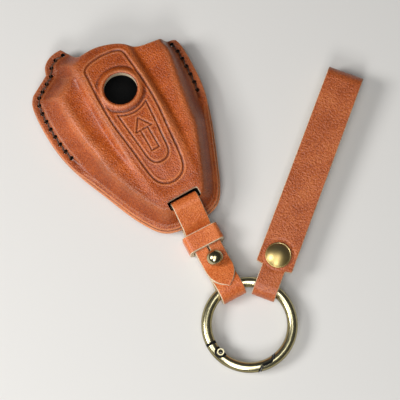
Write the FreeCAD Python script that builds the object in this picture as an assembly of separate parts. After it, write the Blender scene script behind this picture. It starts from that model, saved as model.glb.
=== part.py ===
# Moulded leather cover for a key fob, with a connector strap, a spring-gate ring and a wrist strap.
# Millimetres. The origin is the middle of the flat patch on the case's back, +Z comes out of the
# front, and +Y runs from the nose, where the strap is threaded, to the open mouth.
import FreeCAD, Part
import math
import os

Vector = FreeCAD.Vector

# Case
case_half_width = 26.6
case_length = 71.4
nose_from_origin = 36.0
case_leather = 1.5
seam_height = 5.0
seam_flange = 3.5
nose_flange = 1.7
shoulder_run = 4.8
wing_rise = 5.2
valley_depth = 0.9
valley_from_edge = 11.5
valley_width = 5.0
spine_half_width = 11.5
spine_nose_half_width = 6.3
spine_flank = 3.0
spine_rise = 3.1
back_rise = 3.75
back_nose_run = 21.0
cavity_sink = 0.25
lining_thickness = 0.5
lining_glue = 0.06

# Case openings
window_radius = 5.35
window_from_nose = 47.3
slot_from_nose = 7.3
slot_clearance = 0.5
slot_mouth_gap = 0.45
slot_nose_gap = 1.5
slot_corner_radius = 0.5
back_slot_nose_gap = 2.9

# Seams
stitch_pitch = 2.95
stitch_inset = 2.2
thread_radius = 0.38
thread_hole_clearance = 0.12
thread_lift = 0.02

# Connector strap, keeper and ball stud
strap_leather = 1.4
layer_gap = 0.06
strap_width = 8.9
strap_ring_width = 8.0
strap_turn_deg = 2.2
nose_lift = 0.35
bend_past_nose = 2.2
slot_rise = 4.8
slot_bend_radius = 2.0
strap_bend_radius = 2.4
back_leg_drop = 0.35
keeper_leather = 1.3
keeper_clearance = 0.25
keeper_length = 5.7
keeper_play = 0.85
keeper_from_slot = 13.3
keeper_corner_radius = 0.4
strap_tail_past_keeper = 0.5
stud_from_slot = 20.9
tip_past_stud = 9.8
tip_ogive_length = 7.5
tip_slit_width = 0.35
tip_slit_length = 3.6
ball_radius = 2.6
stud_neck_radius = 1.25
stud_neck_gap = 0.25
stud_base_radius = 2.7
stud_base_height = 0.5
stud_shank_radius = 1.5
stud_hole_clearance = 0.15
screw_radius = 0.9
screw_head_radius = 3.0
screw_head_height = 0.6
screw_slot_width = 0.6
screw_slot_depth = 0.3
thread_clearance = 0.02
seat_clearance = 0.05

# Ring
ring_outer_radius = 15.0
rod_radius = 1.65
loop_clearance = 0.75
rod_from_slot = 30.45
gate_heel_deg = 176.8
gate_pivot_deg = 193.8
gate_outer_end_deg = 253.8
gate_inner_end_deg = 274.8
gate_pivot_inset = 0.85
gate_gap = 0.15
tongue_thickness = 1.0
tongue_clearance = 0.08
tongue_radius = 1.9
tongue_swing_clearance = 0.25
pin_radius = 0.7
pin_hole_clearance = 0.04
pin_head_radius = 1.1
pin_head_height = 0.4
pin_seat_height = 1.1
pin_bore_radius = 0.4
spring_wire_radius = 0.13
spring_coil_radius = 0.42
spring_bore_clearance = 0.1
spring_length = 4.0

# Wrist strap and snap
wrist_leather = 1.4
wrist_width = 11.8
neck_width = 7.5
wrist_turn_deg = 39.0
wrist_on_ring_deg = 35.0
wrist_length = 75.0
wrist_loop_height = 8.9
shoulder_from_rod = 6.0
shoulder_round = 1.2
snap_from_rod = 9.9
neck_tail_past_snap = 5.2
loop_tail_past_snap = 3.5
loop_tail_slope_run = 12.0
wrist_bend_radius = 5.0
tail_bend_radius = 2.4
cap_radius = 4.1
cap_height = 1.9
cap_rim = 0.5
cap_shank_radius = 1.2
cap_shank_bore_radius = 0.8
snap_post_head_radius = 4.0
snap_post_head_height = 0.5
snap_post_radius = 1.2
snap_stud_base_radius = 3.3
snap_stud_base_height = 0.45
snap_stud_radius = 1.95
snap_socket_radius = 4.0
snap_socket_wall = 0.5
snap_clearance = 0.1

overrun = 2.0
least_run = 0.001

# Outline of the case from the nose up, as shares of the half width and the length.
left_side_shares = [(0.0, 0.0), (-0.23, 0.004), (-0.37, 0.024), (-0.505, 0.083), (-0.66, 0.2), (-0.785, 0.32),
                    (-0.902, 0.43), (-0.979, 0.53), (-1.013, 0.63), (-1.016, 0.72)]
right_side_shares = [(0.0, 0.0), (0.23, 0.005), (0.357, 0.026), (0.478, 0.085), (0.622, 0.2), (0.762, 0.32),
                     (0.873, 0.43), (0.943, 0.53), (0.971, 0.63), (0.98, 0.72)]
left_wing_shares = [(-1.002, 0.795), (-0.967, 0.842), (-0.915, 0.868)]
notch_shares = (-0.655, 0.925)
ear_shares = [(-0.655, 0.925), (-0.622, 0.958), (-0.545, 0.985), (-0.45, 0.998), (-0.345, 1.0)]
mouth_shares = [(-0.345, 1.0), (-0.285, 0.96), (-0.215, 0.905), (-0.05, 0.897), (0.14, 0.882),
                (0.3, 0.857), (0.42, 0.825), (0.64, 0.806), (0.86, 0.782), (0.945, 0.772)]
right_wing_shares = [(0.966, 0.752), (0.945, 0.772)]
left_seam_end_share = 0.49
right_seam_end_share = 0.47
tip_bow_shares = (0.71, 0.64)
flange_widen_shares = (0.3, 0.5)
crown_share = 0.46
crown_mouth_fall_share = 0.3
crown_nose_fall_share = 0.34
spine_fade_share = 0.5
cavity_wall_share = 0.8
grid_columns = 47
grid_rows = 61


# Derived places
nose_y = -nose_from_origin
slot_y = nose_y + slot_from_nose
window_y = nose_y + window_from_nose
front_flange_top = seam_height + case_leather
ring_radius = ring_outer_radius - rod_radius
ring_from_slot = rod_from_slot + ring_radius
loop_inner = rod_radius + loop_clearance
strap_fold_radius = loop_inner + strap_leather / 2
ring_height = strap_leather + loop_inner
ring_turn = math.radians(strap_turn_deg)
ring_away = Vector(math.sin(ring_turn), math.cos(ring_turn), 0) * ring_from_slot
ring_centre = Vector(0, slot_y, ring_height) - ring_away


def on_case(share):
    """A plan point given as shares of the case's half width and length."""
    return Vector(share[0] * case_half_width, nose_y + share[1] * case_length, 0)


def smooth(u):
    """Smooth step from 0 to 1."""
    u = min(max(u, 0.0), 1.0)
    return u * u * (3 - 2 * u)


def spline(points):
    curve = Part.BSplineCurve()
    curve.interpolate(points)
    return curve.toShape()


def case_outline():
    """The edges of the case's plan outline: left side, wing top, ear, mouth and right side."""
    left = [on_case(s) for s in left_side_shares + left_wing_shares]
    right = [on_case(s) for s in right_side_shares + right_wing_shares]
    wing_top = Part.LineSegment(left[-1], on_case(notch_shares)).toShape()
    ear = spline([on_case(s) for s in ear_shares])
    mouth = spline([on_case(s) for s in mouth_shares])
    return spline(left), wing_top, ear, mouth, spline(right)


left_edge, wing_top_edge, ear_edge, mouth_edge, right_edge = case_outline()


def sampled(edges, spacing):
    """Points along edges that follow one another, about one spacing apart."""
    points = []
    for edge in edges:
        found = edge.discretize(Number=max(2, int(edge.Length / spacing)))
        points += found if not points else found[1:]
    return points


sample_spacing = case_leather / 2
left_rim = sampled([left_edge, wing_top_edge, ear_edge], sample_spacing)
right_rim = sampled([right_edge], sample_spacing)
rim = list(reversed(left_rim)) + right_rim[1:]
beyond_mouth = nose_y + 2 * case_length
rim_region = rim + [Vector(rim[-1].x, beyond_mouth, 0), Vector(rim[0].x, beyond_mouth, 0)]


def inside_rim(x, y):
    """True inside the sewn and folded edges, and past the mouth, which has no edge."""
    inside = False
    a = rim_region[-1]
    for b in rim_region:
        if (a.y > y) != (b.y > y) and x < a.x + (y - a.y) * (b.x - a.x) / (b.y - a.y):
            inside = not inside
        a = b
    return inside


def edge_distance(x, y):
    """How far a plan point lies inside the case's edge, or zero outside it."""
    if not inside_rim(x, y):
        return 0.0
    best = case_length
    a = rim[0]
    for b in rim[1:]:
        run_x, run_y = b.x - a.x, b.y - a.y
        t = ((x - a.x) * run_x + (y - a.y) * run_y) / (run_x * run_x + run_y * run_y)
        t = min(max(t, 0.0), 1.0)
        best = min(best, math.hypot(x - a.x - t * run_x, y - a.y - t * run_y))
        a = b
    return best


def along(y):
    """Share of the case's length from the nose."""
    return (y - nose_y) / case_length


def crown(y):
    """Fall of the moulded front from its highest line towards the mouth and the nose."""
    u = along(y) - crown_share
    if u > 0:
        return 1 - crown_mouth_fall_share * (u / (1 - crown_share)) ** 2
    return 1 - crown_nose_fall_share * (u / crown_share) ** 2


def flange_at(y):
    """Width of the flat edge: narrow round the nose, wide along the seams."""
    low, high = flange_widen_shares
    return nose_flange + (seam_flange - nose_flange) * smooth((along(y) - low) / (high - low))


def front_rise(x, y, distance, wall):
    """Height of the front above its flat edge, drawn in by a wall for the cavity."""
    shoulder = smooth((distance - flange_at(y) - wall) / shoulder_run)
    dip = math.exp(-((distance - valley_from_edge) / valley_width) ** 2)
    fade = smooth(along(y) / spine_fade_share)
    half = spine_nose_half_width + (spine_half_width - spine_nose_half_width) * fade - wall
    flank = spine_flank * (2 - fade)
    spine = smooth((half + flank / 2 - abs(x)) / flank)
    height = wing_rise - valley_depth * dip * (1 - spine) + spine_rise * fade * spine
    return crown(y) * shoulder * height


def back_rise_at(x, y, distance, wall):
    """Depth of the back below its flat edge, shallow over the nose where the strap passes."""
    shoulder = smooth((distance - flange_at(y) - wall) / (shoulder_run + case_leather))
    return back_rise * shoulder * smooth((y - nose_y) / back_nose_run)


grid_x = [(2 * i / (grid_columns - 1) - 1) * (case_half_width + overrun) for i in range(grid_columns)]
grid_y = [nose_y - overrun + (case_length + 2 * overrun) * j / (grid_rows - 1) for j in range(grid_rows)]
grid_distance = [[edge_distance(x, y) for y in grid_y] for x in grid_x]


def moulded_block(height, drop):
    """Block under (or over) a height field, from one interpolated surface carried along Z."""
    rows = []
    for x, column in zip(grid_x, grid_distance):
        rows.append([Vector(x, y, height(x, y, d)) for y, d in zip(grid_y, column)])
    surface = Part.BSplineSurface()
    surface.interpolate(rows)
    return surface.toShape().extrude(Vector(0, 0, drop))


def prism(face, low, high):
    """A plan face carried from one height to another."""
    moved = face.translated(Vector(0, 0, low))
    return moved.extrude(Vector(0, 0, high - low))


def rounded_bar(width, length, height, radius, centre):
    """Upright bar with rounded corners, for the strap slots."""
    box = Part.makeBox(width, length, height, centre - Vector(width / 2, length / 2, 0))
    return box.makeFillet(radius, [e for e in box.Edges if abs(e.tangentAt(0).z) > 0.9])


def stitch_points(rim_points, end_share):
    """Hole places at the stitch pitch on a line set in from the rim, from its top to its end."""
    line = []
    for a, b in zip(rim_points, rim_points[1:]):
        run = b.sub(a).normalize()
        inward = Vector(-run.y, run.x, 0) if rim_points is right_rim else Vector(run.y, -run.x, 0)
        line.append(a + inward * stitch_inset)
    line.reverse()
    points = [line[0]]
    walked = 0.0
    for a, b in zip(line, line[1:]):
        step = b.sub(a).Length
        while walked + step >= stitch_pitch:
            a = a + (b - a) * ((stitch_pitch - walked) / step)
            points.append(a)
            step = b.sub(a).Length
            walked = 0.0
        walked += step
        if along(b.y) < end_share:
            break
    return points


left_stitches = stitch_points(left_rim, left_seam_end_share)
right_stitches = stitch_points(right_rim, right_seam_end_share)


def upright(radius, low, high, at):
    return Part.makeCylinder(radius, high - low, Vector(at.x, at.y, low))


def stitch_holes():
    radius = thread_radius + thread_hole_clearance
    low = seam_height - case_leather - overrun
    high = front_flange_top + overrun
    return [upright(radius, low, high, p) for p in left_stitches + right_stitches]


def seam_thread(points):
    """One waxed thread: upright through each hole and a run on each face between the holes."""
    top = front_flange_top + thread_radius + thread_lift
    bottom = seam_height - case_leather - thread_radius - thread_lift
    pieces = []
    for p in points:
        pieces.append(upright(thread_radius, bottom, top, p))
        pieces.append(Part.makeSphere(thread_radius, Vector(p.x, p.y, top)))
        pieces.append(Part.makeSphere(thread_radius, Vector(p.x, p.y, bottom)))
    for a, b in zip(points, points[1:]):
        run = b.sub(a)
        for z in (top, bottom):
            pieces.append(Part.makeCylinder(thread_radius, run.Length, Vector(a.x, a.y, z), run))
    return pieces[0].fuse(pieces[1:])


def strap_slot(nose_gap, low, high):
    length = strap_leather + slot_mouth_gap + nose_gap
    centre = Vector(0, slot_y + (slot_mouth_gap - nose_gap) / 2, low)
    return rounded_bar(strap_width + 2 * slot_clearance, length, high - low, slot_corner_radius, centre)


plan_face = Part.Face(Part.Wire([left_edge, wing_top_edge, ear_edge, mouth_edge, right_edge]))
front_top = front_flange_top + wing_rise + spine_rise + overrun
cavity_wall = cavity_wall_share * case_leather


def front_outer(x, y, d):
    return front_flange_top + front_rise(x, y, d, 0)


def front_cavity(x, y, d):
    return seam_height - cavity_sink + front_rise(x, y, d, cavity_wall)


def back_outer(x, y, d):
    return seam_height - case_leather - back_rise_at(x, y, d, 0)


def back_cavity(x, y, d):
    return seam_height + cavity_sink - back_rise_at(x, y, d, cavity_wall)


def case_shells():
    """Front and back shells with their linings, cut for the window, the slots and the seams."""
    fall = 2 * front_top
    window = upright(window_radius, seam_height - overrun, front_top, Vector(0, window_y, 0))
    front_slot = strap_slot(slot_nose_gap, seam_height - overrun, front_top)
    back_slot = strap_slot(back_slot_nose_gap, -overrun, seam_height + overrun)
    above = prism(plan_face, seam_height, front_top)
    below = prism(plan_face, 0, seam_height)

    outer = moulded_block(front_outer, -fall)
    cavity = moulded_block(front_cavity, -fall)
    front = above.common(outer).cut(cavity)
    front = front.cut([window, front_slot] + stitch_holes())

    glue = Vector(0, 0, -lining_glue)
    skin = Vector(0, 0, -lining_glue - lining_thickness)
    front_lining = above.common(cavity.translated(glue)).cut(cavity.translated(skin))
    front_lining = front_lining.cut([window, front_slot])

    outer = moulded_block(back_outer, fall)
    cavity = moulded_block(back_cavity, fall)
    back = below.common(outer).cut(cavity)
    back = back.cut([back_slot] + stitch_holes())
    back_lining = below.common(cavity.translated(-glue)).cut(cavity.translated(-skin))
    back_lining = back_lining.cut(back_slot)
    return front, front_lining, back, back_lining


def rounded_path(corners, radii):
    """Straight runs joined by tangent arcs, in the plane of Y and Z, with a radius per inner corner."""
    segments = []
    start = corners[0]
    for before, corner, after, radius in zip(corners, corners[1:], corners[2:], radii):
        back, ahead = (before - corner).normalize(), (after - corner).normalize()
        half_angle = math.acos(back.dot(ahead)) / 2
        trim = radius / math.tan(half_angle)
        centre = corner + (back + ahead).normalize() * (radius / math.sin(half_angle))
        middle = centre + (corner - centre).normalize() * radius
        left_turn = ahead.cross(back).x > 0
        if (corner + back * trim - start).Length > least_run:
            segments.append(("line", start, corner + back * trim))
        segments.append(("arc", corner + back * trim, middle, corner + ahead * trim, centre, left_turn))
        start = corner + ahead * trim
    segments.append(("line", start, corners[-1]))
    return segments


def offset_edges(segments, distance):
    """The path's edges moved to its left: lines stay straight and arcs stay round."""
    edges = []
    for kind, first, *rest in segments:
        if kind == "line":
            run = (rest[0] - first).normalize()
            side = Vector(0, -run.z, run.y) * distance
            edges.append(Part.LineSegment(first + side, rest[0] + side).toShape())
            continue
        middle, last, centre, left_turn = rest
        radius = (first - centre).Length
        ratio = (radius - distance if left_turn else radius + distance) / radius
        moved = [centre + (point - centre) * ratio for point in (first, middle, last)]
        edges.append(Part.Arc(*moved).toShape())
    return edges


def ribbon(segments, thickness, width):
    """A flat strip of leather that follows a path in the plane of Y and Z, centred across X."""
    one = offset_edges(segments, thickness / 2)
    other = offset_edges(segments, -thickness / 2)
    start = Part.LineSegment(one[0].firstVertex().Point, other[0].firstVertex().Point).toShape()
    end = Part.LineSegment(one[-1].lastVertex().Point, other[-1].lastVertex().Point).toShape()
    face = Part.Face(Part.Wire(Part.sortEdges(one + [end] + other + [start])[0]))
    face.translate(Vector(-width / 2, 0, 0))
    return face.extrude(Vector(width, 0, 0))


def plan_prism(points, low, high):
    """Prism over a closed plan polygon."""
    return prism(Part.Face(Part.makePolygon(points + points[:1])), low, high)


# Connector strap levels, in a frame with the slot at its origin and the ring along -Y.
back_leg_z = keeper_leather + keeper_clearance + strap_leather / 2
fold_leg_z = back_leg_z + strap_leather + layer_gap
front_leg_z = fold_leg_z + strap_leather + layer_gap
strap_fold_top = strap_leather / 2 + 2 * strap_fold_radius
fold_sagitta = ring_radius - math.sqrt(ring_radius ** 2 - (strap_ring_width / 2) ** 2)
strap_fold_at = rod_from_slot + fold_sagitta / 2
keeper_near = keeper_from_slot - keeper_length / 2
strap_level_from = keeper_near - keeper_play
strap_top = front_flange_top + slot_rise + strap_leather
tip_at = stud_from_slot + tip_past_stud
bend_from_slot = slot_from_nose + bend_past_nose
bend_at = stud_from_slot + stud_base_radius + strap_leather


def strap_point(distance, z):
    return Vector(0, -distance, z)


def connector_strap():
    """One strip: pointed tip, front leg, through both slots, back leg, round the ring and back."""
    slope_foot = bend_at
    slope_head = strap_fold_at - strap_leather
    lift = strap_leather + layer_gap
    run, rise = slope_head - slope_foot, strap_fold_top - fold_leg_z
    shift = lift * math.tan(math.atan2(rise, run) / 2)
    tip_level = strap_fold_top + lift
    join = keeper_from_slot
    nose_z = front_flange_top + nose_lift + strap_leather / 2
    front = rounded_path([strap_point(tip_at, tip_level), strap_point(slope_head - shift, tip_level),
                          strap_point(slope_foot - shift, front_leg_z), strap_point(join, front_leg_z)],
                         [strap_bend_radius, strap_bend_radius])
    rest = rounded_path([strap_point(join, front_leg_z), strap_point(strap_level_from, front_leg_z),
                         strap_point(slot_from_nose + strap_leather / 2, nose_z), strap_point(0, strap_top),
                         strap_point(0, strap_leather / 2 + back_leg_drop),
                         strap_point(strap_level_from, back_leg_z),
                         strap_point(bend_at, back_leg_z),
                         strap_point(bend_at + 2 * strap_bend_radius, strap_leather / 2),
                         strap_point(strap_fold_at + strap_fold_radius, strap_leather / 2),
                         strap_point(strap_fold_at + strap_fold_radius, strap_fold_top),
                         strap_point(slope_head, strap_fold_top), strap_point(slope_foot, fold_leg_z),
                         strap_point(keeper_near - strap_tail_past_keeper, fold_leg_z)],
                        [strap_leather, strap_bend_radius, slot_bend_radius, slot_bend_radius,
                         strap_bend_radius, strap_bend_radius, strap_bend_radius, strap_fold_radius,
                         strap_fold_radius, strap_bend_radius, strap_bend_radius])
    half, end_half = strap_width / 2, strap_ring_width / 2
    front = ribbon(front, strap_leather, strap_width).common(tip_prism(join))
    rest = ribbon(rest, strap_leather, strap_width)
    far = strap_fold_at + strap_fold_radius + overrun
    sides = [(half, -overrun), (half, join), (end_half, bend_at), (end_half, far)]
    outline = [Vector(x, -s, 0) for x, s in sides] + [Vector(-x, -s, 0) for x, s in reversed(sides)]
    rest = rest.common(plan_prism(outline, -overrun, strap_top + overrun))
    strap = front.fuse(rest).removeSplitter()
    stud = strap_point(stud_from_slot, 0)
    shank = stud_shank_radius + stud_hole_clearance
    hole = upright(shank, -overrun, front_leg_z + overrun, stud)
    fold_top = fold_leg_z + strap_leather / 2
    base_low = fold_top - stud_base_height - seat_clearance
    base = upright(stud_base_radius + stud_hole_clearance, base_low, fold_top + layer_gap / 2, stud)
    head_high = back_leg_z - strap_leather / 2 + screw_head_height
    head = upright(screw_head_radius + stud_hole_clearance, -overrun, head_high, stud)
    slit_low = Vector(-tip_slit_width / 2, -stud_from_slot, fold_top + layer_gap / 2)
    slit = Part.makeBox(tip_slit_width, tip_slit_length, 2 * strap_leather, slit_low)
    return strap.cut([hole, base, head, slit])


def strap_at_bend(strap):
    """The strap parted where it bends, past the nose: in the slots, round the ring, and the tip."""
    reach = tip_at + ring_from_slot
    low = Vector(-strap_width, -bend_from_slot, -overrun)
    near = Part.makeBox(2 * strap_width, reach, strap_top + 2 * overrun, low)
    legs = sorted(strap.cut(near).Solids, key=lambda solid: solid.CenterOfMass.z)
    return strap.common(near).Solids[0], legs[0], legs[1]


def tip_prism(join):
    """Plan shape of the front leg: straight sides that close in a pointed arch at the tip."""
    half = strap_width / 2
    foot = tip_at - tip_ogive_length
    point = strap_point(tip_at, 0)
    edges = [Part.LineSegment(Vector(half, -join, 0), Vector(-half, -join, 0)).toShape()]
    for side in (1, -1):
        corner = Vector(side * half, -foot, 0)
        bow = Vector(side * half * tip_bow_shares[0], -foot - tip_ogive_length * tip_bow_shares[1], 0)
        edges.append(Part.LineSegment(Vector(side * half, -join, 0), corner).toShape())
        edges.append(Part.Arc(corner, bow, point).toShape())
    wire = Part.Wire(Part.sortEdges(edges)[0])
    return prism(Part.Face(wire), 0, strap_top)


def keeper_loop():
    """Band round all three layers of the strap, rounded at its corners."""
    inner_half = strap_width / 2 + keeper_clearance
    low = back_leg_z - strap_leather / 2 - keeper_clearance
    high = front_leg_z + strap_leather / 2 + keeper_clearance
    solids = []
    for grow, radius in ((keeper_leather, keeper_corner_radius + keeper_leather), (0, keeper_corner_radius)):
        half = inner_half + grow
        box = Part.makeBox(2 * half, keeper_length, high - low + 2 * grow,
                           Vector(-half, -keeper_from_slot - keeper_length / 2, low - grow))
        lengthwise = [e for e in box.Edges if abs(e.tangentAt(0).y) > 0.9]
        solids.append(box.makeFillet(radius, lengthwise))
    return solids[0].cut(solids[1])


def ball_stud():
    """Ball on a neck and a base, with a threaded shank for the screw from behind."""
    at = strap_point(stud_from_slot, 0)
    seat = fold_leg_z + strap_leather / 2 - stud_base_height
    neck_top = front_leg_z + strap_leather / 2 + stud_neck_gap
    centre = neck_top + math.sqrt(ball_radius ** 2 - stud_neck_radius ** 2)
    shank_low = back_leg_z - strap_leather / 2 + screw_head_height + seat_clearance
    shank = upright(stud_shank_radius, shank_low, seat, at)
    base = upright(stud_base_radius, seat, seat + stud_base_height, at)
    neck = upright(stud_neck_radius, seat, centre, at)
    ball = Part.makeSphere(ball_radius, strap_point(stud_from_slot, centre))
    bore = upright(screw_radius + thread_clearance, shank_low - overrun, seat + stud_base_height, at)
    return shank.fuse([base, neck, ball]).cut(bore)


def stud_screw():
    """Flat slotted screw sunk in the strap's back."""
    at = strap_point(stud_from_slot, 0)
    low = back_leg_z - strap_leather / 2
    top = fold_leg_z + strap_leather / 2 - seat_clearance
    head = upright(screw_head_radius, low, low + screw_head_height, at)
    shank = upright(screw_radius, low, top, at)
    slot = Part.makeBox(2 * screw_head_radius, screw_slot_width, screw_slot_depth,
                        at + Vector(-screw_head_radius, -screw_slot_width / 2, low))
    return head.fuse(shank).cut(slot)


def rod_arc(from_deg, to_deg):
    """Round rod bent on the ring's circle between two angles, about the ring's own centre."""
    circle = Part.Circle(Vector(ring_radius, 0, 0), Vector(0, 1, 0), rod_radius).toShape()
    face = Part.Face(Part.Wire(circle))
    face.rotate(Vector(0, 0, 0), Vector(0, 0, 1), from_deg)
    return face.revolve(Vector(0, 0, 0), Vector(0, 0, 1), to_deg - from_deg)


def ring_point(radius, degrees, z=0.0):
    return Vector(radius * math.cos(math.radians(degrees)), radius * math.sin(math.radians(degrees)), z)


gate_gap_deg = math.degrees(gate_gap / ring_radius)
gate_pivot = ring_point(ring_radius - gate_pivot_inset, gate_pivot_deg)

# The lap's end faces are round about the pivot, so that the gate leaves them freely.
lap_reach_deg = math.degrees(2 * rod_radius / ring_radius)
outer_lap_radius = (ring_point(ring_radius + rod_radius / 2, gate_outer_end_deg) - gate_pivot).Length
inner_lap_radius = (ring_point(ring_radius - rod_radius / 2, gate_inner_end_deg) - gate_pivot).Length


def pivot_disc(radius, half_height):
    return upright(radius, -half_height, half_height, gate_pivot)


def hinge_slab(half_height, to_deg):
    """Flat slab across the rod from the gate's heel to an angle, for the tongue and its slot."""
    far = 2 * ring_outer_radius
    heel = gate_heel_deg - 2 * math.degrees(rod_radius / ring_radius)
    corners = [Vector(0, 0, 0), ring_point(far, heel), ring_point(far, to_deg)]
    return plan_prism(corners, -half_height, half_height)


def ring_body():
    """The fixed part of the ring, with the hinge tongue and the outer half of the lap."""
    rod = rod_arc(gate_inner_end_deg + lap_reach_deg - 360, gate_heel_deg)
    zone = rod_arc(gate_outer_end_deg - lap_reach_deg - 360, gate_inner_end_deg + lap_reach_deg - 360)
    eye = upright(ring_radius + gate_gap / 2, -ring_outer_radius, ring_outer_radius, Vector(0, 0, 0))
    lap = zone.cut([eye, pivot_disc(outer_lap_radius + gate_gap, 2 * rod_radius)])
    end = zone.cut(pivot_disc(inner_lap_radius + gate_gap, 2 * rod_radius))
    tongue = rod_arc(gate_heel_deg, gate_pivot_deg + math.degrees(tongue_radius / ring_radius))
    half = tongue_thickness / 2
    shape = pivot_disc(tongue_radius, half).fuse(hinge_slab(half, gate_pivot_deg))
    tongue = tongue.common(shape)
    body = rod.fuse([end, lap, tongue]).removeSplitter()
    return body.cut(pivot_disc(pin_radius + thread_clearance, rod_radius))


def spring_place():
    """Start and direction of the spring's bore in the gate, along the rod past the tongue."""
    start_deg = gate_pivot_deg + math.degrees((tongue_radius + 2 * tongue_swing_clearance) / ring_radius)
    start = ring_point(ring_radius, start_deg)
    direction = ring_point(1, start_deg + 90 + math.degrees(spring_length / ring_radius) / 2)
    return start, direction


def ring_gate():
    """The gate: forked over the tongue, with the inner half of the lap at its nose."""
    zone = rod_arc(gate_heel_deg + gate_gap_deg, gate_inner_end_deg + lap_reach_deg)
    eye = upright(ring_radius - gate_gap / 2, -ring_outer_radius, ring_outer_radius, Vector(0, 0, 0))
    rod = zone.common(pivot_disc(outer_lap_radius, 2 * rod_radius))
    lap = zone.common(eye).common(pivot_disc(inner_lap_radius, 2 * rod_radius))
    half = tongue_thickness / 2 + tongue_clearance
    slot = pivot_disc(tongue_radius + tongue_swing_clearance, half).fuse(hinge_slab(half, gate_pivot_deg))
    start, direction = spring_place()
    bore_radius = spring_coil_radius + spring_wire_radius + spring_bore_clearance
    bore = Part.makeCylinder(bore_radius, spring_length + spring_bore_clearance + tongue_radius,
                             start - direction * tongue_radius, direction)
    seats = [upright(pin_head_radius + seat_clearance, pin_seat_height, rod_radius, gate_pivot),
             upright(pin_head_radius + seat_clearance, -rod_radius, -pin_seat_height, gate_pivot)]
    hole = pivot_disc(pin_radius + pin_hole_clearance, rod_radius)
    return rod.fuse(lap).removeSplitter().cut([slot, bore, hole] + seats)


def gate_rivet():
    """Hollow rivet through the gate's fork and the tongue."""
    seat = pin_seat_height + pin_hole_clearance
    top = seat + pin_head_height
    shaft = pivot_disc(pin_radius, seat)
    heads = [upright(pin_head_radius, seat, top, gate_pivot),
             upright(pin_head_radius, -top, -seat, gate_pivot)]
    return shaft.fuse(heads).cut(pivot_disc(pin_bore_radius, top))


def gate_spring():
    """The spring hidden in the gate's bore, as a plain sleeve of its coil's size."""
    start, direction = spring_place()
    radii = (spring_coil_radius + spring_wire_radius, spring_coil_radius - spring_wire_radius)
    outer, inner = [Part.makeCylinder(radius, spring_length, start, direction) for radius in radii]
    return outer.cut(inner)


# Wrist strap levels, in a frame with the rod's line at its origin and the loop along +Y.
wrist_fold_radius = loop_inner + wrist_leather / 2
wrist_low = ring_height - wrist_fold_radius
wrist_high = ring_height + wrist_fold_radius
loop_tail_z = wrist_high - wrist_leather - layer_gap
loop_top = wrist_low + wrist_loop_height - wrist_leather
loop_end = wrist_length - wrist_leather / 2
loop_tail_at = snap_from_rod - loop_tail_past_snap
neck_tail_at = snap_from_rod + neck_tail_past_snap
snap_low = wrist_low + wrist_leather / 2
snap_high = loop_tail_z - wrist_leather / 2
snap_seat = wrist_high + wrist_leather / 2


def wrist_point(distance, z):
    return Vector(0, distance, z)


def wrist_strap():
    """One strip: neck tail, neck round the ring, front, hand loop, back, and a tail under the front."""
    end_radius = (loop_top - wrist_low) / 2 - layer_gap
    path = rounded_path([wrist_point(neck_tail_at, wrist_low), wrist_point(-wrist_fold_radius, wrist_low),
                         wrist_point(-wrist_fold_radius, wrist_high), wrist_point(neck_tail_at, wrist_high),
                         wrist_point(loop_end - wrist_loop_height, loop_top), wrist_point(loop_end, loop_top),
                         wrist_point(loop_end, wrist_low),
                         wrist_point(neck_tail_at + loop_tail_slope_run, wrist_low),
                         wrist_point(neck_tail_at, loop_tail_z), wrist_point(loop_tail_at, loop_tail_z)],
                        [wrist_fold_radius, wrist_fold_radius, wrist_bend_radius, wrist_bend_radius,
                         end_radius, end_radius, wrist_bend_radius, tail_bend_radius])
    strip = ribbon(path, wrist_leather, wrist_width)
    snap = wrist_point(snap_from_rod, 0)
    top_hole = upright(cap_shank_radius + snap_clearance, snap_high - overrun, snap_seat + overrun, snap)
    low_hole = upright(snap_post_radius + snap_clearance, -overrun, snap_low + layer_gap, snap)
    head_top = snap_low - wrist_leather + snap_post_head_height + seat_clearance
    recess = upright(snap_post_head_radius + snap_clearance, -overrun, head_top, snap)
    return strip.cut(neck_blocks() + [top_hole, low_hole, recess])


def neck_blocks():
    """The two blocks that are cut away beside the neck, each with a rounded inner corner."""
    half, neck_half = wrist_width / 2 + overrun, neck_width / 2
    near = -wrist_fold_radius - overrun
    blocks = []
    for side in (1, -1):
        low_x = min(side * neck_half, side * half)
        block = Part.makeBox(half - neck_half, shoulder_from_rod - near, snap_seat + 2 * overrun,
                             Vector(low_x, near, -overrun))
        corner = [e for e in block.Edges if abs(e.CenterOfMass.x - side * neck_half) < layer_gap
                  and abs(e.CenterOfMass.y - shoulder_from_rod) < layer_gap]
        blocks.append(block.makeFillet(shoulder_round, corner))
    return blocks


def snap_cap():
    """Domed cap with a rolled rim and a hollow shank that is set through the leather."""
    rise = cap_height - cap_rim
    sphere_radius = (cap_radius ** 2 + rise ** 2) / (2 * rise)
    at = wrist_point(snap_from_rod, 0)
    rim = upright(cap_radius, snap_seat, snap_seat + cap_rim, at)
    rim = rim.makeFillet(cap_rim / 2 - seat_clearance, [rim.Edges[0], rim.Edges[2]])
    ball = Part.makeSphere(sphere_radius, wrist_point(snap_from_rod, snap_seat + cap_height - sphere_radius))
    dome = ball.common(upright(cap_radius - cap_rim, snap_seat + cap_rim / 2, snap_seat + cap_height, at))
    shank_low = snap_high - snap_socket_wall
    shank = upright(cap_shank_radius, shank_low, snap_seat + cap_rim / 2, at)
    return rim.fuse([dome, shank]).cut(upright(cap_shank_bore_radius, shank_low, snap_seat, at))


def snap_socket():
    """Socket under the front leaves: a plate, a wall and a cup that closes on the stud."""
    at = wrist_point(snap_from_rod, 0)
    low = snap_low + snap_stud_base_height + snap_clearance
    body = upright(snap_socket_radius, low, snap_high, at)
    cup = upright(snap_stud_radius + snap_clearance, low, snap_high - snap_socket_wall, at)
    return body.cut([cup, upright(cap_shank_radius + thread_clearance, low, snap_high, at)])


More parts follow.
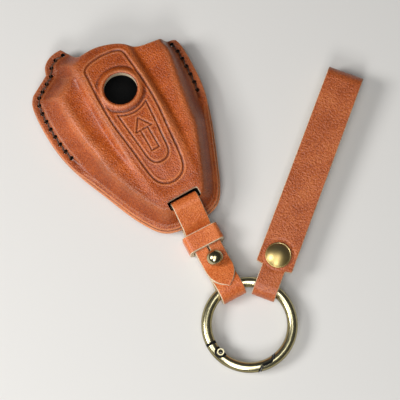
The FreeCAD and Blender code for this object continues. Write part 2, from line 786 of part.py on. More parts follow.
def snap_stud():
    """Stud on the neck tail: a base plate and a hollow knob that clicks into the socket."""
    at = wrist_point(snap_from_rod, 0)
    base = upright(snap_stud_base_radius, snap_low, snap_low + snap_stud_base_height, at)
    top = snap_high - snap_socket_wall - snap_clearance
    knob = upright(snap_stud_radius, snap_low, top, at)
    knob = knob.makeFillet(snap_socket_wall, [e for e in knob.Edges if e.CenterOfMass.z > top - layer_gap
                                              and e.Closed and e.Length > snap_stud_radius])
    return base.fuse(knob).cut(upright(snap_post_radius + thread_clearance, snap_low, top, at))


def snap_post():
    """Post through the neck tail from behind, with its head sunk in the leather."""
    at = wrist_point(snap_from_rod, 0)
    low = snap_low - wrist_leather
    head = upright(snap_post_head_radius, low, low + snap_post_head_height, at)
    top = snap_high - snap_socket_wall - snap_clearance
    return head.fuse(upright(snap_post_radius, low, top, at))


def placed(shape, turn_deg, place):
    """A shape turned about Z in its own frame and then moved."""
    moved = shape.copy()
    moved.rotate(Vector(0, 0, 0), Vector(0, 0, 1), turn_deg)
    moved.translate(place)
    return moved


slot_place = Vector(0, slot_y, 0)
neck_sagitta = ring_radius - math.sqrt(ring_radius ** 2 - (neck_width / 2) ** 2)
wrist_axis = ring_point(1, wrist_turn_deg)
wrist_place = ring_centre + ring_point(ring_radius, wrist_on_ring_deg) - wrist_axis * (neck_sagitta / 2)
wrist_place.z = 0


def main():
    os.makedirs("parts", exist_ok=True)
    front, front_lining, back, back_lining = case_shells()
    nodes = {
        "front_shell": front,
        "front_lining": front_lining,
        "back_shell": back,
        "back_lining": back_lining,
        "left_seam_thread": seam_thread(left_stitches),
        "right_seam_thread": seam_thread(right_stitches),
    }
    root, ring_leg, tip_leg = strap_at_bend(connector_strap())
    strap_nodes = {
        "strap_root": root,
        "strap_ring_leg": ring_leg,
        "strap_tip_leg": tip_leg,
        "keeper_loop": keeper_loop(),
        "ball_stud": ball_stud(),
        "stud_screw": stud_screw(),
    }
    for name, shape in strap_nodes.items():
        nodes[name] = placed(shape, -strap_turn_deg, slot_place)
    ring_nodes = {
        "ring_body": ring_body(),
        "ring_gate": ring_gate(),
        "gate_rivet": gate_rivet(),
        "gate_spring": gate_spring(),
    }
    for name, shape in ring_nodes.items():
        nodes[name] = placed(shape, 0, ring_centre)
    wrist_nodes = {
        "wrist_strap": wrist_strap(),
        "snap_cap": snap_cap(),
        "snap_socket": snap_socket(),
        "snap_stud": snap_stud(),
        "snap_post": snap_post(),
    }
    for name, shape in wrist_nodes.items():
        nodes[name] = placed(shape, wrist_turn_deg - 90, wrist_place)
    for name, shape in nodes.items():
        shape.exportStep("parts/" + name + ".step")
        box = shape.BoundBox
        print(name, "solids", len(shape.Solids), "valid", shape.isValid(), "volume", round(shape.Volume, 2),
              "z", round(box.ZMin, 3), round(box.ZMax, 3))


main()
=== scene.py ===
"""Looks of a moulded leather key fob cover with its connector strap, spring-gate ring and wrist strap.

Every size is in millimetres in the frame of the solids, and becomes metres when a mesh is made.
"""
import math

import bpy
import numpy as np
from mathutils import Matrix, Vector


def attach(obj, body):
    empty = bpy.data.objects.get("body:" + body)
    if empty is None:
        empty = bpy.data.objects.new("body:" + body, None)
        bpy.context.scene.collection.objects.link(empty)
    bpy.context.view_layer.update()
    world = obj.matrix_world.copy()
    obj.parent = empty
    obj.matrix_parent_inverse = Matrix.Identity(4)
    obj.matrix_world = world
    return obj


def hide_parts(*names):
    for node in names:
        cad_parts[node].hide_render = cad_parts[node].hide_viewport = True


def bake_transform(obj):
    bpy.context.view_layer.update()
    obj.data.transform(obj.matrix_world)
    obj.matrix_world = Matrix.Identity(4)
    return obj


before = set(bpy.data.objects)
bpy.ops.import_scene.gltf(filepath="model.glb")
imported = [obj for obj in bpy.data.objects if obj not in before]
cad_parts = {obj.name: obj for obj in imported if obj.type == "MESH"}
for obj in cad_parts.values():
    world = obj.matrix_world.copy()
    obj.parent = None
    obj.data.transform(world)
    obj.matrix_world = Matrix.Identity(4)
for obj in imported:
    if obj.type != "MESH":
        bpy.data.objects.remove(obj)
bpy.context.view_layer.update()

MM = 0.001

# Case plan, as shares of the half width and the length from the nose
HALF_WIDTH, LENGTH, NOSE_Y = 26.6, 71.4, -36.0
LEFT_SIDE = [(0.0, 0.0), (-0.23, 0.004), (-0.37, 0.024), (-0.505, 0.083), (-0.66, 0.2), (-0.785, 0.32),
             (-0.902, 0.43), (-0.979, 0.53), (-1.013, 0.63), (-1.016, 0.72),
             (-1.002, 0.795), (-0.967, 0.842), (-0.915, 0.868)]
RIGHT_SIDE = [(0.0, 0.0), (0.23, 0.005), (0.357, 0.026), (0.475, 0.085), (0.616, 0.2), (0.753, 0.32),
              (0.862, 0.43), (0.931, 0.53), (0.959, 0.63), (0.966, 0.72), (0.957, 0.754), (0.938, 0.778)]
EAR = [(-0.655, 0.925), (-0.622, 0.958), (-0.545, 0.985), (-0.45, 0.998), (-0.345, 1.0)]
MOUTH = [(-0.345, 1.0), (-0.285, 0.96), (-0.215, 0.905), (-0.05, 0.897), (0.14, 0.882),
         (0.3, 0.853), (0.42, 0.818), (0.64, 0.795), (0.8, 0.789), (0.88, 0.788), (0.938, 0.778)]
NOSE_CORNER = 9.0
LEFT_SEAM_END, RIGHT_SEAM_END = 0.49, 0.485
# How points crowd together at the sides, at the ends and about the middle
SIDE_CROWD, END_CROWD, CROWDING, MIDDLE_REACH = 0.02, 0.012, 0.86, 0.24
# Columns and rows of points, and the lining's low, top and side trims and its step
FRONT_GRID, FRONT_TRIM, FRONT_MIDDLE = (221, 321), (24, 3, 30, 4), 1.2
BACK_GRID, BACK_TRIM = (129, 173), (16, 3, 20, 3)
INNER_STEP = 4

# Case section
SEAM_Z, CASE_LEATHER, CAVITY_SINK, CAVITY_WALL = 5.0, 1.5, 0.25, 1.2
NOSE_FLANGE, SEAM_FLANGE, FLANGE_SHARES = 1.5, 3.1, (0.36, 0.5)
NOSE_RUN, LEFT_RUN, RIGHT_RUN, RUN_SHARES = 3.3, 6.2, 4.4, (0.28, 0.66)
RIGHT_MOUTH_RUN, MOUTH_RUN_SHARES = 1.9, (0.52, 0.76)
FOOT_ROUND, CREST_ROUND, SIDE_BLEND = 1.8, 1.3, 12.0
WING_RISE, LEFT_VALLEY, RIGHT_VALLEY, VALLEY_AT, VALLEY_WIDTH = 7.0, 0.85, 0.35, 13.5, 3.4
SPINE_HALF, SPINE_NOSE_HALF, SPINE_FLANK, SPINE_RISE, SPINE_FADE = 8.8, 6.1, 2.6, 1.25, 0.5
CROWN_AT, CROWN_MOUTH_FALL, CROWN_NOSE_FALL = 0.46, 0.3, 0.34
BACK_RISE, BACK_NOSE_RUN, BACK_RUN = 3.75, 21.0, 6.3
FRONT_STEP, BACK_STEP, STEP_FADE, OPEN_GAP, GAP_REACH = -0.45, 0.1, 0.12, 0.2, 1.8
# Ramps: where they start and their run, which is negative where they fall
SEAM_RAMP, OPEN_RAMP = (-0.015, 0.025), (-0.02, -0.06)
EDGE_ROUND, SEAM_ROUND, SEWN_SHUT = 0.5, 0.28, 0.8
BEAD_AT, BEAD_RISE, BEAD_WIDTH = 1.25, 0.2, 0.38
LINING, GLUE, LINING_GAP = 0.5, 0.06, 0.1

# Colour of the case: painted highlight on the banks of pressed lines and on crests, lighter worn edges and
# back shoulder, and painted shade in the lines, on the flanks and towards the mouth
BASE_SOFT, LINE_SOFT, CREST_SOFT, LINE_CURVE, CREST_CURVE = 8, 10, 14, 0.06, 0.05
LINE_HIGHLIGHT, CREST_HIGHLIGHT, EDGE_WEAR, EDGE_REACH, LINE_DARK = 0.35, 0.2, 0.7, 0.4, 0.75
FLANK_DARK, FLANK_START, FLANK_END = 0.28, (0, 1.5), (8, -3)
MOUTH_DARK, MOUTH_RAMP = 0.3, (0.66, 0.25)
BACK_WEAR, BACK_WEAR_AT, BACK_WEAR_WIDTH, BACK_EDGE_REACH = 0.25, 9, 2.5, 0.5
LIP_WEAR, LIP_RAMP = 0.9, (0.35, 0.4)

# Pressed front: points are a distance to the right of the middle and one from the nose
PRESS_X = 0.22
WINDOW_AT, WINDOW_RADIUS = 47.2, 5.35
COLLAR_RADIUS, COLLAR_RUN, COLLAR_RISE, COLLAR_LIP, LIP_RUN = 7.7, 1.9, 0.75, 0.3, 0.7
MOAT_DEPTH, MOAT_AT, MOAT_WIDTH = 0.1, 0.2, 0.35
PANEL_SIDE = [(2.9, 13.9), (4.7, 15.7), (5.55, 18.2), (6.0, 21.3), (6.65, 28.0), (7.3, 33.5), (7.75, 39.0),
              (7.8, 44.5), (7.5, 51.0), (7.1, 56.6), (6.7, 58.4), (5.7, 59.3), (3.0, 60.1)]
PANEL_FOOT, PANEL_TOP = 13.15, 60.4
BUTTON_SIDE = [(2.0, 20.9), (3.2, 22.4), (3.72, 25.0), (4.12, 29.6), (4.6, 34.5), (5.0, 39.75)]
BUTTON_FOOT, BUTTON_ARCH = 20.4, 8.85
ARROW_HEAD = [(0.0, 36.1), (2.7, 32.1), (-2.7, 32.1), (0.0, 36.1)]
ARROW_SHAFT = [(-1.3, 31.8), (-1.3, 24.8), (1.3, 24.8), (1.3, 31.8)]
GROOVE_BANK, BANK_AT = 0.3, 2.2
# Depth and width of each kind of line
PANEL_GROOVE, BUTTON_GROOVE, ARROW_GROOVE = (0.3, 0.3), (0.25, 0.27), (0.22, 0.25)

# Slots and seams
SLOT_Y = -28.7
SLOT_HALF, SLOT_MOUTH_SIDE, SLOT_NOSE_SIDE, BACK_NOSE_SIDE, SLOT_SQUARE = 5.45, 1.15, 2.2, 3.6, 0.3
SLOT_LIP_RISE, SLOT_LIP_AT, SLOT_LIP_WIDTH, SLOT_LIP_ENDS = 0.15, 2.4, 1.3, (7.2, -2.5)
STITCH_PITCH, STITCH_INSET, HOLE_RADIUS = 2.95, 2.2, 0.74
CHANNEL_DEPTH, CHANNEL_WIDTH, CHANNEL_BANK, BANK_INSET, BANK_WIDTH = 0.2, 0.75, 0.12, 0.95, 0.3
THREAD_RADIUS, THREAD_SLANT, THREAD_INSET, THREAD_SINK, THREAD_START = 0.31, 0.3, 0.06, 0.3, 0.15
ARCH_STEEP, ARCH_POWER, PLY_SWELL, PLY_TWIST, THREAD_STEPS = 1.8, 0.6, 0.16, 2.4, 20
# Low and high ends of the punches
FRONT_PUNCH, BACK_PUNCH, STITCH_PUNCH = (4, 20), (-2, 8), (0.5, 9.0)

# Connector strap, keeper and stud, along the strap from the slot
# Where a strap's own frame lies in plan, and its turn in degrees
STRAP_PLACE = ((0, SLOT_Y), -2.2)
STRAP_LEATHER, STRAP_HALF, STRAP_RING_HALF = 1.4, 4.45, 4.0
GRAIN_ROUND, FLESH_ROUND, PATH_STEP = 0.28, 0.1, 0.3
BEND_FROM, BEND_TO, NARROW_RUN = 7.6, 9.55, 11.7
KEEPER_AT, KEEPER_LENGTH, KEEPER_LEATHER = 13.3, 5.7, 1.3
# The keeper's middle line: half width, low, high and corner radius
KEEPER_LOOP = (5.35, 0.65, 6.77, 1.05)
TIP_AT, TIP_LENGTH, TIP_POWER, TIP_LEAST = 30.7, 7.5, 2.77, 0.35
SKIVE_LENGTH, SKIVE_DEPTH = 6.0, 0.8
SLIT_HALF, SLIT_BEVEL, SLIT_DEPTH, SLIT_LENGTH = 0.19, 0.48, 0.42, 5.0
STUD_HOLE, PUNCH_BELOW, PUNCH_ABOVE, PUNCH_TOP = 1.5, 0.02, 0.05, 9
STUD_AT, BALL_RADIUS, BALL_Z, BALL_DEGREES = 20.9, 2.6, 8.4, (-65, 89)
STUD_PROFILE = [(0.95, 2.25), (1.5, 2.25), (1.5, 3.9), (2.7, 3.92), (2.7, 4.3), (2.6, 4.4), (1.4, 4.42),
                (1.2, 4.6), (1.2, 5.9)]
TIP_PATH = [(30.7, 8.36), (29.4, 8.36), (22.6, 5.17), (9.6, 5.17), (8.0, 7.55), (0, 12.7), (0, 1.05),
            (9.6, 2.25), (25, 2.25), (29.8, 0.7), (33.857, 0.7), (33.857, 6.9), (29.357, 6.9), (25, 3.71),
            (9.95, 3.71)]
TIP_RADII = [3.4, 5.0, 1.4, 2.4, 2.0, 2.0, 2.4, 2.4, 2.4, 3.1, 3.1, 2.4, 2.4]

# Ring and gate
RING_CENTRE, RING_RADIUS, ROD_RADIUS = (-1.68, -72.47, 3.8), 13.35, 1.65
HEEL_DEG, PIVOT_DEG, PIVOT_INSET, LAP_OUTER_DEG, LAP_INNER_DEG = 176.8, 193.8, 0.85, 253.8, 274.8
# Half width of the grime in the gate's seams, and radii of painted shade round the rivet and in its bore
JOINT_HALF, RIVET_SHADE_RADIUS, RIVET_BORE_SHADE = 0.46, 1.9, 0.72

# Wrist strap, along its own line from the ring's rod
WRIST_PLACE = ((9.0454, -64.9796), -51.0)
WRIST_LEATHER, WRIST_HALF, NECK_HALF = 1.4, 5.9, 3.75
SHOULDER_AT, LOW_SHOULDER_AT, SHOULDER_ROUND = 6.0, 7.8, 0.6
SHOULDER_NICK, NICK_REACH, TAIL_SHARE = 0.25, 0.2, 0.75
WRIST_PATH = [(15.1, 0.7), (-3.1, 0.7), (-3.1, 6.9), (15.1, 6.9), (65.4, 8.2), (74.3, 8.2), (74.3, 0.7),
              (27.1, 0.7), (15.1, 5.44), (7.0, 5.44)]
WRIST_RADII = [3.1, 3.1, 5.0, 5.0, 3.69, 3.69, 5.0, 2.4]
SNAP_AT, SNAP_SEAT, CAP_RADIUS, CAP_HEIGHT = 9.9, 7.6, 4.1, 1.9
SNAP_PRESS_RADIUS, SNAP_PRESS_DEPTH, SNAP_PRESS_WIDTH = 5.0, 0.14, 0.4
CAP_ROLL, CAP_ROLL_DEGREES, DOME_INSET, DOME_FOOT, DOME_POWER = 0.3, (-60, 90), 0.25, 0.45, 2.2
CAP_SHANK = [(0.8, 5.0), (1.2, 5.0), (1.2, SNAP_SEAT + 0.05)]

# Materials: sizes of what the eye sees, the wax, and the black of the gate's seam grime and of painted shade
# at the rivet
MOTTLE_MM, SPECKLE_MM, PEBBLE_DEPTH_MM, FIBRE_MM, FIBRE_DEPTH_MM = 7.0, 0.45, 0.26, 0.4, 0.1
WAX_LEVEL, WAX_ROUGHNESS, SEAM_GRIME_AND_SHADE, GRIME_AND_SHADE_ROUGHNESS = 0.42, 0.22, "#080604", 0.7

# Stage, camera and crispness of edges in degrees
FLOOR_HALF = 3.0
TARGET, DISTANCE, ELEVATION, ROLL = (5.543, -29.534, 0.0), 420.0, 76.0, 30.2
PIXELS_PER_MM, IMAGE_PIXELS, SENSOR_MM = 3.12, 400, 36
CASE_CRISP, STRAP_CRISP, METAL_CRISP = 50, 40, 35


# Materials

def srgb(code):
    """Linear colour with full alpha from a #RRGGBB value."""
    channels = [int(code[i:i + 2], 16) / 255 for i in (1, 3, 5)]
    return [c / 12.92 if c <= 0.04045 else ((c + 0.055) / 1.055) ** 2.4 for c in channels] + [1.0]


def join(tree, socket, value):
    """Sets an input, or links it to an output."""
    if isinstance(value, bpy.types.NodeSocket):
        tree.links.new(value, socket)
    else:
        socket.default_value = value


def add(tree, kind, links=None, **settings):
    """One node with its settings and inputs."""
    node = tree.nodes.new("ShaderNode" + kind)
    for name, value in settings.items():
        setattr(node, name, value)
    for name, value in (links or {}).items():
        join(tree, node.inputs[name], value)
    return node


def reckon(tree, operation, *values):
    """One number from others."""
    return add(tree, "Math", dict(enumerate(values)), operation=operation).outputs[0]


def mixed(tree, factor, a, b):
    """One colour from two."""
    return add(tree, "Mix", {"Factor": factor, "A": a, "B": b}, data_type="RGBA").outputs["Result"]


def noise(tree, place, size_mm, detail):
    """Cloudy values about one half, with features of a size."""
    links = {"Vector": place, "Scale": 1 / (size_mm * MM), "Detail": detail}
    return add(tree, "TexNoise", links).outputs["Fac"]


def ranged(tree, value, low, high, to_low=0.0, to_high=1.0):
    """A value moved from one range to another."""
    links = {"Value": value, "From Min": low, "From Max": high, "To Min": to_low, "To Max": to_high}
    return add(tree, "MapRange", links).outputs["Result"]


def object_place(tree):
    """Where a point lies in its object's own frame."""
    return add(tree, "TexCoord").outputs["Object"]


def tones(tree, factor, places, shades):
    """A ramp over a factor, with a #RRGGBB colour at each place."""
    node = add(tree, "ValToRGB", {"Fac": factor})
    elements = node.color_ramp.elements
    while len(elements) < len(places):
        elements.new(0.5)
    for element, place, code in zip(elements, places, shades):
        element.position = place
        element.color = srgb(code)
    return node.outputs["Color"]


def bumped(tree, height, strength, depth_mm):
    """A surface's direction over small bumps."""
    links = {"Height": height, "Strength": strength, "Distance": depth_mm * MM}
    return add(tree, "Bump", links).outputs["Normal"]


def finish(name):
    """A new material, its node tree and its shader."""
    material = bpy.data.materials.new(name)
    material.use_nodes = True
    return material, material.node_tree, material.node_tree.nodes["Principled BSDF"]


def wire(tree, shader, **inputs):
    """Links or sets inputs, whose names have spaces for underscores."""
    for name, value in inputs.items():
        join(tree, shader.inputs[name.replace("_", " ")], value)


def leather(name, shades, grain_mm, roughness, gloss, relief):
    """Waxed vegetable-tanned leather: mottled tan, with a fine pebble that breaks up highlights. One
    attribute mixes in a lighter colour, partly worn edges and partly painted highlight on crests and line
    banks; another mixes in painted shade in pressed lines, on flanks, towards the mouth and inside."""
    material, tree, shader = finish(name)
    place = object_place(tree)
    mottle, speckle = noise(tree, place, MOTTLE_MM, 4.0), noise(tree, place, SPECKLE_MM, 2.0)
    cells = add(tree, "TexVoronoi", {"Vector": place, "Scale": 1 / (grain_mm * MM)},
                feature="DISTANCE_TO_EDGE").outputs["Distance"]
    wear_and_highlight, painted_shade = (add(tree, "Attribute", attribute_name=key).outputs["Fac"]
                      for key in ("wear_and_highlight", "painted_shade"))
    blend = reckon(tree, "MULTIPLY_ADD", mottle, 0.4, reckon(tree, "MULTIPLY", speckle, 0.7))
    colour = tones(tree, blend, (0.4, 0.55, 0.7), shades)
    lightened = mixed(tree, wear_and_highlight, colour, srgb(shades[3]))
    pebble = reckon(tree, "ADD", cells, speckle)
    rough = ranged(tree, blend, 0.3, 0.8, roughness - 0.06, roughness + 0.07)
    wire(tree, shader, Base_Color=mixed(tree, painted_shade, lightened, srgb(shades[4])), Roughness=rough,
         Normal=bumped(tree, pebble, relief, PEBBLE_DEPTH_MM), Specular_IOR_Level=WAX_LEVEL,
         Coat_Weight=gloss, Coat_Roughness=WAX_ROUGHNESS)
    return material


def fibre(name, shades, roughness):
    """Cut or flesh side of leather, suede or thread: matt, with short streaks of darker fibre."""
    material, tree, shader = finish(name)
    fibres = noise(tree, object_place(tree), FIBRE_MM, 5.0)
    wire(tree, shader, Base_Color=tones(tree, fibres, (0.35, 0.65), shades),
         Normal=bumped(tree, fibres, 0.6, FIBRE_DEPTH_MM), Roughness=roughness)
    return material


def brass(name, shades, roughness, patina_mm):
    """Plated metal: a pale soft mirror, with thin darker patina in cloudy patches."""
    material, tree, shader = finish(name)
    patina = noise(tree, object_place(tree), patina_mm, 3.0)
    rough = ranged(tree, patina, 0.3, 0.7, roughness + 0.03, roughness - 0.02)
    colour = tones(tree, patina, (0.3, 0.5, 0.7), shades)
    wire(tree, shader, Base_Color=colour, Roughness=rough, Metallic=1.0)
    return material


def ring_point(radius, degrees):
    """A plan point from the ring's centre."""
    turn = math.radians(degrees)
    return np.array([radius * math.cos(turn), radius * math.sin(turn), 0.0])


def plan_length(tree, place, centre):
    """Distance in plan from a point given in millimetres."""
    away = add(tree, "VectorMath", {0: place, 1: [c * MM for c in centre]}, operation="SUBTRACT")
    flat = add(tree, "VectorMath", {0: away.outputs["Vector"], 1: (1, 1, 0)}, operation="MULTIPLY")
    length = add(tree, "VectorMath", {0: flat.outputs["Vector"]}, operation="LENGTH")
    return length.outputs["Value"], flat.outputs["Vector"]


def ring_seams_and_shade(tree, place):
    """One in the gate's seams, where grime lies, and in a painted shade halo about the rivet: the heel's
    straight seam, and the lap's two round seams about the pivot with the one along the rod between them."""
    def near(value, at, reach=JOINT_HALF * MM):
        return reckon(tree, "COMPARE", value, at, reach)

    def both(a, b, more=0.0):
        return reckon(tree, "MULTIPLY_ADD", a, b, more)

    pivot = ring_point(RING_RADIUS - PIVOT_INSET, PIVOT_DEG)
    outer = np.linalg.norm(ring_point(RING_RADIUS + ROD_RADIUS / 2, LAP_OUTER_DEG) - pivot) * MM
    inner = np.linalg.norm(ring_point(RING_RADIUS - ROD_RADIUS / 2, LAP_INNER_DEG) - pivot) * MM
    middle = RING_RADIUS * MM
    radius, flat = plan_length(tree, place, RING_CENTRE)
    from_pivot, _ = plan_length(tree, place, np.array(RING_CENTRE) + pivot)
    spread = add(tree, "SeparateXYZ", {0: flat}).outputs
    along_heel = add(tree, "VectorMath", {0: flat, 1: ring_point(1, HEEL_DEG + 90)},
                     operation="DOT_PRODUCT").outputs["Value"]
    heel = both(near(along_heel, 0.0), reckon(tree, "LESS_THAN", spread["X"], 0.0))
    lap = both(near(from_pivot, outer), reckon(tree, "GREATER_THAN", radius, middle))
    lap = both(near(from_pivot, inner), reckon(tree, "LESS_THAN", radius, middle), lap)
    lap = both(near(radius, middle), near(from_pivot, (outer + inner) / 2, (inner - outer) / 2), lap)
    seams = both(lap, reckon(tree, "LESS_THAN", spread["Y"], -middle / 2), heel)
    shaded_halo = reckon(tree, "LESS_THAN", from_pivot, RIVET_SHADE_RADIUS * MM)
    return reckon(tree, "MINIMUM", reckon(tree, "ADD", seams, shaded_halo), 1.0), from_pivot


def antique_brass(name, shades, roughness, shaded_halo=True):
    """Antique plating with cloudy patina and a painted reflection: bright where the rod faces up or down and
    brown on its sides, by height about the rod's middle. Black grime in the gate's seams and painted black
    shade round the rivet, or without the shaded halo only painted shade in the rivet's bore."""
    material, tree, shader = finish(name)
    place = object_place(tree)
    # Painted reflection: lighter where the rod faces up or down, darker on its sides
    height = add(tree, "SeparateXYZ", {0: place}).outputs["Z"]
    level = reckon(tree, "ABSOLUTE", reckon(tree, "SUBTRACT", height, RING_CENTRE[2] * MM))
    sheen_and_patina = ranged(tree, level, 0.25 * ROD_RADIUS * MM, 0.95 * ROD_RADIUS * MM)
    patina = noise(tree, place, 3.0, 4.0)
    sheen_and_patina = reckon(tree, "MULTIPLY_ADD", patina, 0.3, reckon(tree, "SUBTRACT", sheen_and_patina, 0.15))
    colour = tones(tree, sheen_and_patina, (0.0, 0.45, 0.85), shades)
    seams_and_shade, from_pivot = ring_seams_and_shade(tree, place)
    if not shaded_halo:
        seams_and_shade = reckon(tree, "LESS_THAN", from_pivot, RIVET_BORE_SHADE * MM)
    # Painted shade and seam grime: black, matt and not metallic, so no reflection shows in them
    wire(tree, shader, Base_Color=mixed(tree, seams_and_shade, colour, srgb(SEAM_GRIME_AND_SHADE)),
         Metallic=reckon(tree, "SUBTRACT", 1.0, seams_and_shade),
         Roughness=reckon(tree, "MULTIPLY_ADD", seams_and_shade, GRIME_AND_SHADE_ROUGHNESS, roughness))
    return material


# Each leather: three mottle tones, then the colour of worn edges and painted highlight, then the colour of
# painted shade
CASE_SHADES = ("#8E3A0C", "#AC4C14", "#C86222", "#E0905A", "#4C1B05")
STRAP_SHADES = ("#B85624", "#D26E34", "#E4844A", "#E89E68", "#7E3714")
WRIST_SHADES = ("#94451D", "#B0582A", "#C6703C", "#D08B5E", "#703212")
case_leather = leather("wet_moulded_veg_tan_leather", CASE_SHADES, 0.75, 0.35, 0.14, 0.85)
strap_leather = leather("waxed_veg_tan_strap_leather", STRAP_SHADES, 0.8, 0.38, 0.14, 0.7)
wrist_leather = leather("pebbled_veg_tan_strap_leather", WRIST_SHADES, 1.1, 0.36, 0.16, 1.0)
raw_edge = fibre("raw_cut_leather_edge", ("#B59A78", "#E6D6BA"), 0.85)
flesh_side = fibre("leather_flesh_side_suede", ("#9C7C58", "#C4A47C"), 0.95)
lining_suede = fibre("black_microfibre_suede", ("#070707", "#121110"), 0.95)
# Stitch hole walls: near-black painted shade
shaded_stitch_hole = fibre("stitch_hole_painted_shade", ("#0A0604", "#170D08"), 0.9)
waxed_thread = fibre("waxed_polyester_thread", ("#24140C", "#5E3E2A"), 0.55)
ball_brass = brass("polished_brass_ball", ("#B0A47C", "#C6BA92", "#D8CDA6"), 0.2, 4.0)
cap_brass = brass("satin_brass_snap_cap", ("#B29B60", "#C4AE74", "#D6C28C"), 0.4, 8.0)
spring_steel = brass("drawn_spring_steel_wire", ("#6E6C68", "#84827D", "#969490"), 0.35, 2.0)
# Ring: painted reflection bands with patina; rivet: painted shade in its bore
ring_brass = antique_brass("antique_brass_plated_zinc", ("#5A5030", "#A89D6C", "#DED4A8"), 0.24)
rivet_brass = antique_brass("antique_brass_rivet", ("#8E8458", "#B8AE82", "#DAD0A8"), 0.28, False)


# Mesh building

def smooth(u):
    """Smooth step from 0 to 1."""
    u = np.clip(u, 0.0, 1.0)
    return u * u * (3 - 2 * u)


def ramp(value, start, run):
    """Smooth step from 0 at a start to 1 after a run."""
    return smooth((value - start) / run)


def bell(value, width):
    """Bell curve of height 1 about zero."""
    return np.exp(-(value / width) ** 2)


def soft_least(a, b, reach):
    """The lesser of two heights, with a rounded corner where they differ by less than a reach."""
    reach = np.maximum(reach, 1e-6)
    near = np.maximum(reach - np.abs(a - b), 0) / reach
    return np.minimum(a, b) - near * near * reach / 4


def unit(vectors):
    """Vectors of length 1 along the given ones."""
    return vectors / np.maximum(np.linalg.norm(vectors, axis=-1, keepdims=True), 1e-9)


def beside(run):
    """Plan vectors turned a quarter to the left."""
    return np.column_stack([-run[:, 1], run[:, 0]])


def turns(count):
    """Even angles once round."""
    return np.linspace(0, 2 * np.pi, count, endpoint=False)


def into_scene(name, data):
    """A new object of a mesh, lamp or camera, in the scene."""
    thing = bpy.data.objects.new(name, data)
    bpy.context.scene.collection.objects.link(thing)
    return thing


def make_piece(name, points, faces, materials, face_material=None, values=None):
    """A smooth piece from points in millimetres, turned outwards by the sign of its volume: the sum over
    faces of the area times the centre's distance along the normal."""
    points = np.asarray(points, float).reshape(-1, 3)
    mesh = bpy.data.meshes.new(name)
    mesh.from_pydata((points * MM).tolist(), [], faces)
    mesh.update()
    area, normal, centre = (np.zeros((len(faces), n)) for n in (1, 3, 3))
    for key, found in (("area", area), ("normal", normal), ("center", centre)):
        mesh.polygons.foreach_get(key, found.ravel())
    if (area * normal * centre).sum() < 0:
        mesh.flip_normals()
    for material in materials:
        mesh.materials.append(material)
    if face_material is not None:
        mesh.polygons.foreach_set("material_index", np.asarray(face_material, np.int32))
    for key, value in (values or {}).items():
        layer = mesh.attributes.new(key, "FLOAT", "POINT")
        layer.data.foreach_set("value", np.ravel(value).astype(np.float32))
    mesh.shade_smooth()
    return into_scene(name, mesh)


def grid_faces(rows, columns, wrap_rows=False, wrap_columns=False, first=0):
    """Quads of a grid of points numbered row by row."""
    i, j = np.indices((rows - 1 + wrap_rows, columns - 1 + wrap_columns))
    up, across = (i + 1) % rows, (j + 1) % columns
    corners = [i * columns + j, i * columns + across, up * columns + across, up * columns + j]
    return np.stack(corners, axis=-1).reshape(-1, 4) + first


def border(rows, columns, first=0):
    """The numbers round the edge of a grid of points, back to the first."""
    number = np.arange(rows * columns).reshape(rows, columns) + first
    return np.concatenate([number[0, :-1], number[:-1, -1], number[-1, :0:-1], number[::-1, 0]])


def tube_faces(rows, columns):
    """Quads of a tube of point rings, and its two flat ends."""
    first, last = list(range(columns))[::-1], list(range((rows - 1) * columns, rows * columns))
    return grid_faces(rows, columns, wrap_columns=True).tolist() + [first, last]


def sharpen(piece, degrees):
    """Keeps cut edges crisp, while the rest stays smooth."""
    piece.data.set_sharp_from_angle(angle=math.radians(degrees))


def cut(piece, cutters):
    """Punches separate cutters out of a piece. The cut faces take their materials."""
    if len(cutters) > 1:
        with bpy.context.temp_override(active_object=cutters[0], selected_editable_objects=cutters):
            bpy.ops.object.join()
    punch = piece.modifiers.new("punch", "BOOLEAN")
    punch.object = cutters[0]
    punch.operation = "DIFFERENCE"
    punch.solver = "MANIFOLD"
    punch.material_mode = "TRANSFER"
    done = piece.evaluated_get(bpy.context.evaluated_depsgraph_get())
    mesh = bpy.data.meshes.new_from_object(done)
    piece.modifiers.clear()
    piece.data = mesh
    bpy.data.objects.remove(cutters[0])


def bar(outline, low, high, material, low_outline=None):
    """An upright bar over a plan outline, to punch a hole. Another outline at its low end makes a bevel."""
    outline = np.asarray(outline, float)
    ends = (outline if low_outline is None else np.asarray(low_outline, float), outline)
    rings = [np.column_stack([end, np.full(len(end), z)]) for end, z in zip(ends, (low, high))]
    return make_piece("punch", np.vstack(rings), tube_faces(2, len(outline)), [material])


def arc(radius, turn, centre=(0.0, 0.0)):
    """Points of a circle at angles."""
    return np.column_stack([centre[0] + radius * np.cos(turn), centre[1] + radius * np.sin(turn)])


# Case plan

def walked(line):
    """Length along a polyline at each of its points."""
    return np.concatenate([[0], np.cumsum(np.linalg.norm(np.diff(line, axis=0), axis=1))])


def spline(points, count):
    """Natural cubic spline through points, on their chord length: the second derivatives solve the usual
    three-term equations, and the curve is sampled evenly."""
    p = np.asarray(points, float)
    t = walked(p)
    h = np.diff(t)
    i = np.arange(1, len(p) - 1)
    terms = np.eye(len(p))
    terms[i, i - 1], terms[i, i], terms[i, i + 1] = h[:-1], 2 * (h[:-1] + h[1:]), h[1:]
    known = np.zeros_like(p)
    known[1:-1] = 6 * np.diff(np.diff(p, axis=0) / h[:, None], axis=0)
    bend = np.linalg.solve(terms, known)
    s = np.linspace(0, t[-1], count)
    k = np.clip(np.searchsorted(t, s, side="right") - 1, 0, len(p) - 2)
    a, b, step = (t[k + 1] - s)[:, None], (s - t[k])[:, None], h[k][:, None]
    return ((bend[k] * a ** 3 + bend[k + 1] * b ** 3) / (6 * step)
            + (p[k] / step - bend[k] * step / 6) * a + (p[k + 1] / step - bend[k + 1] * step / 6) * b)


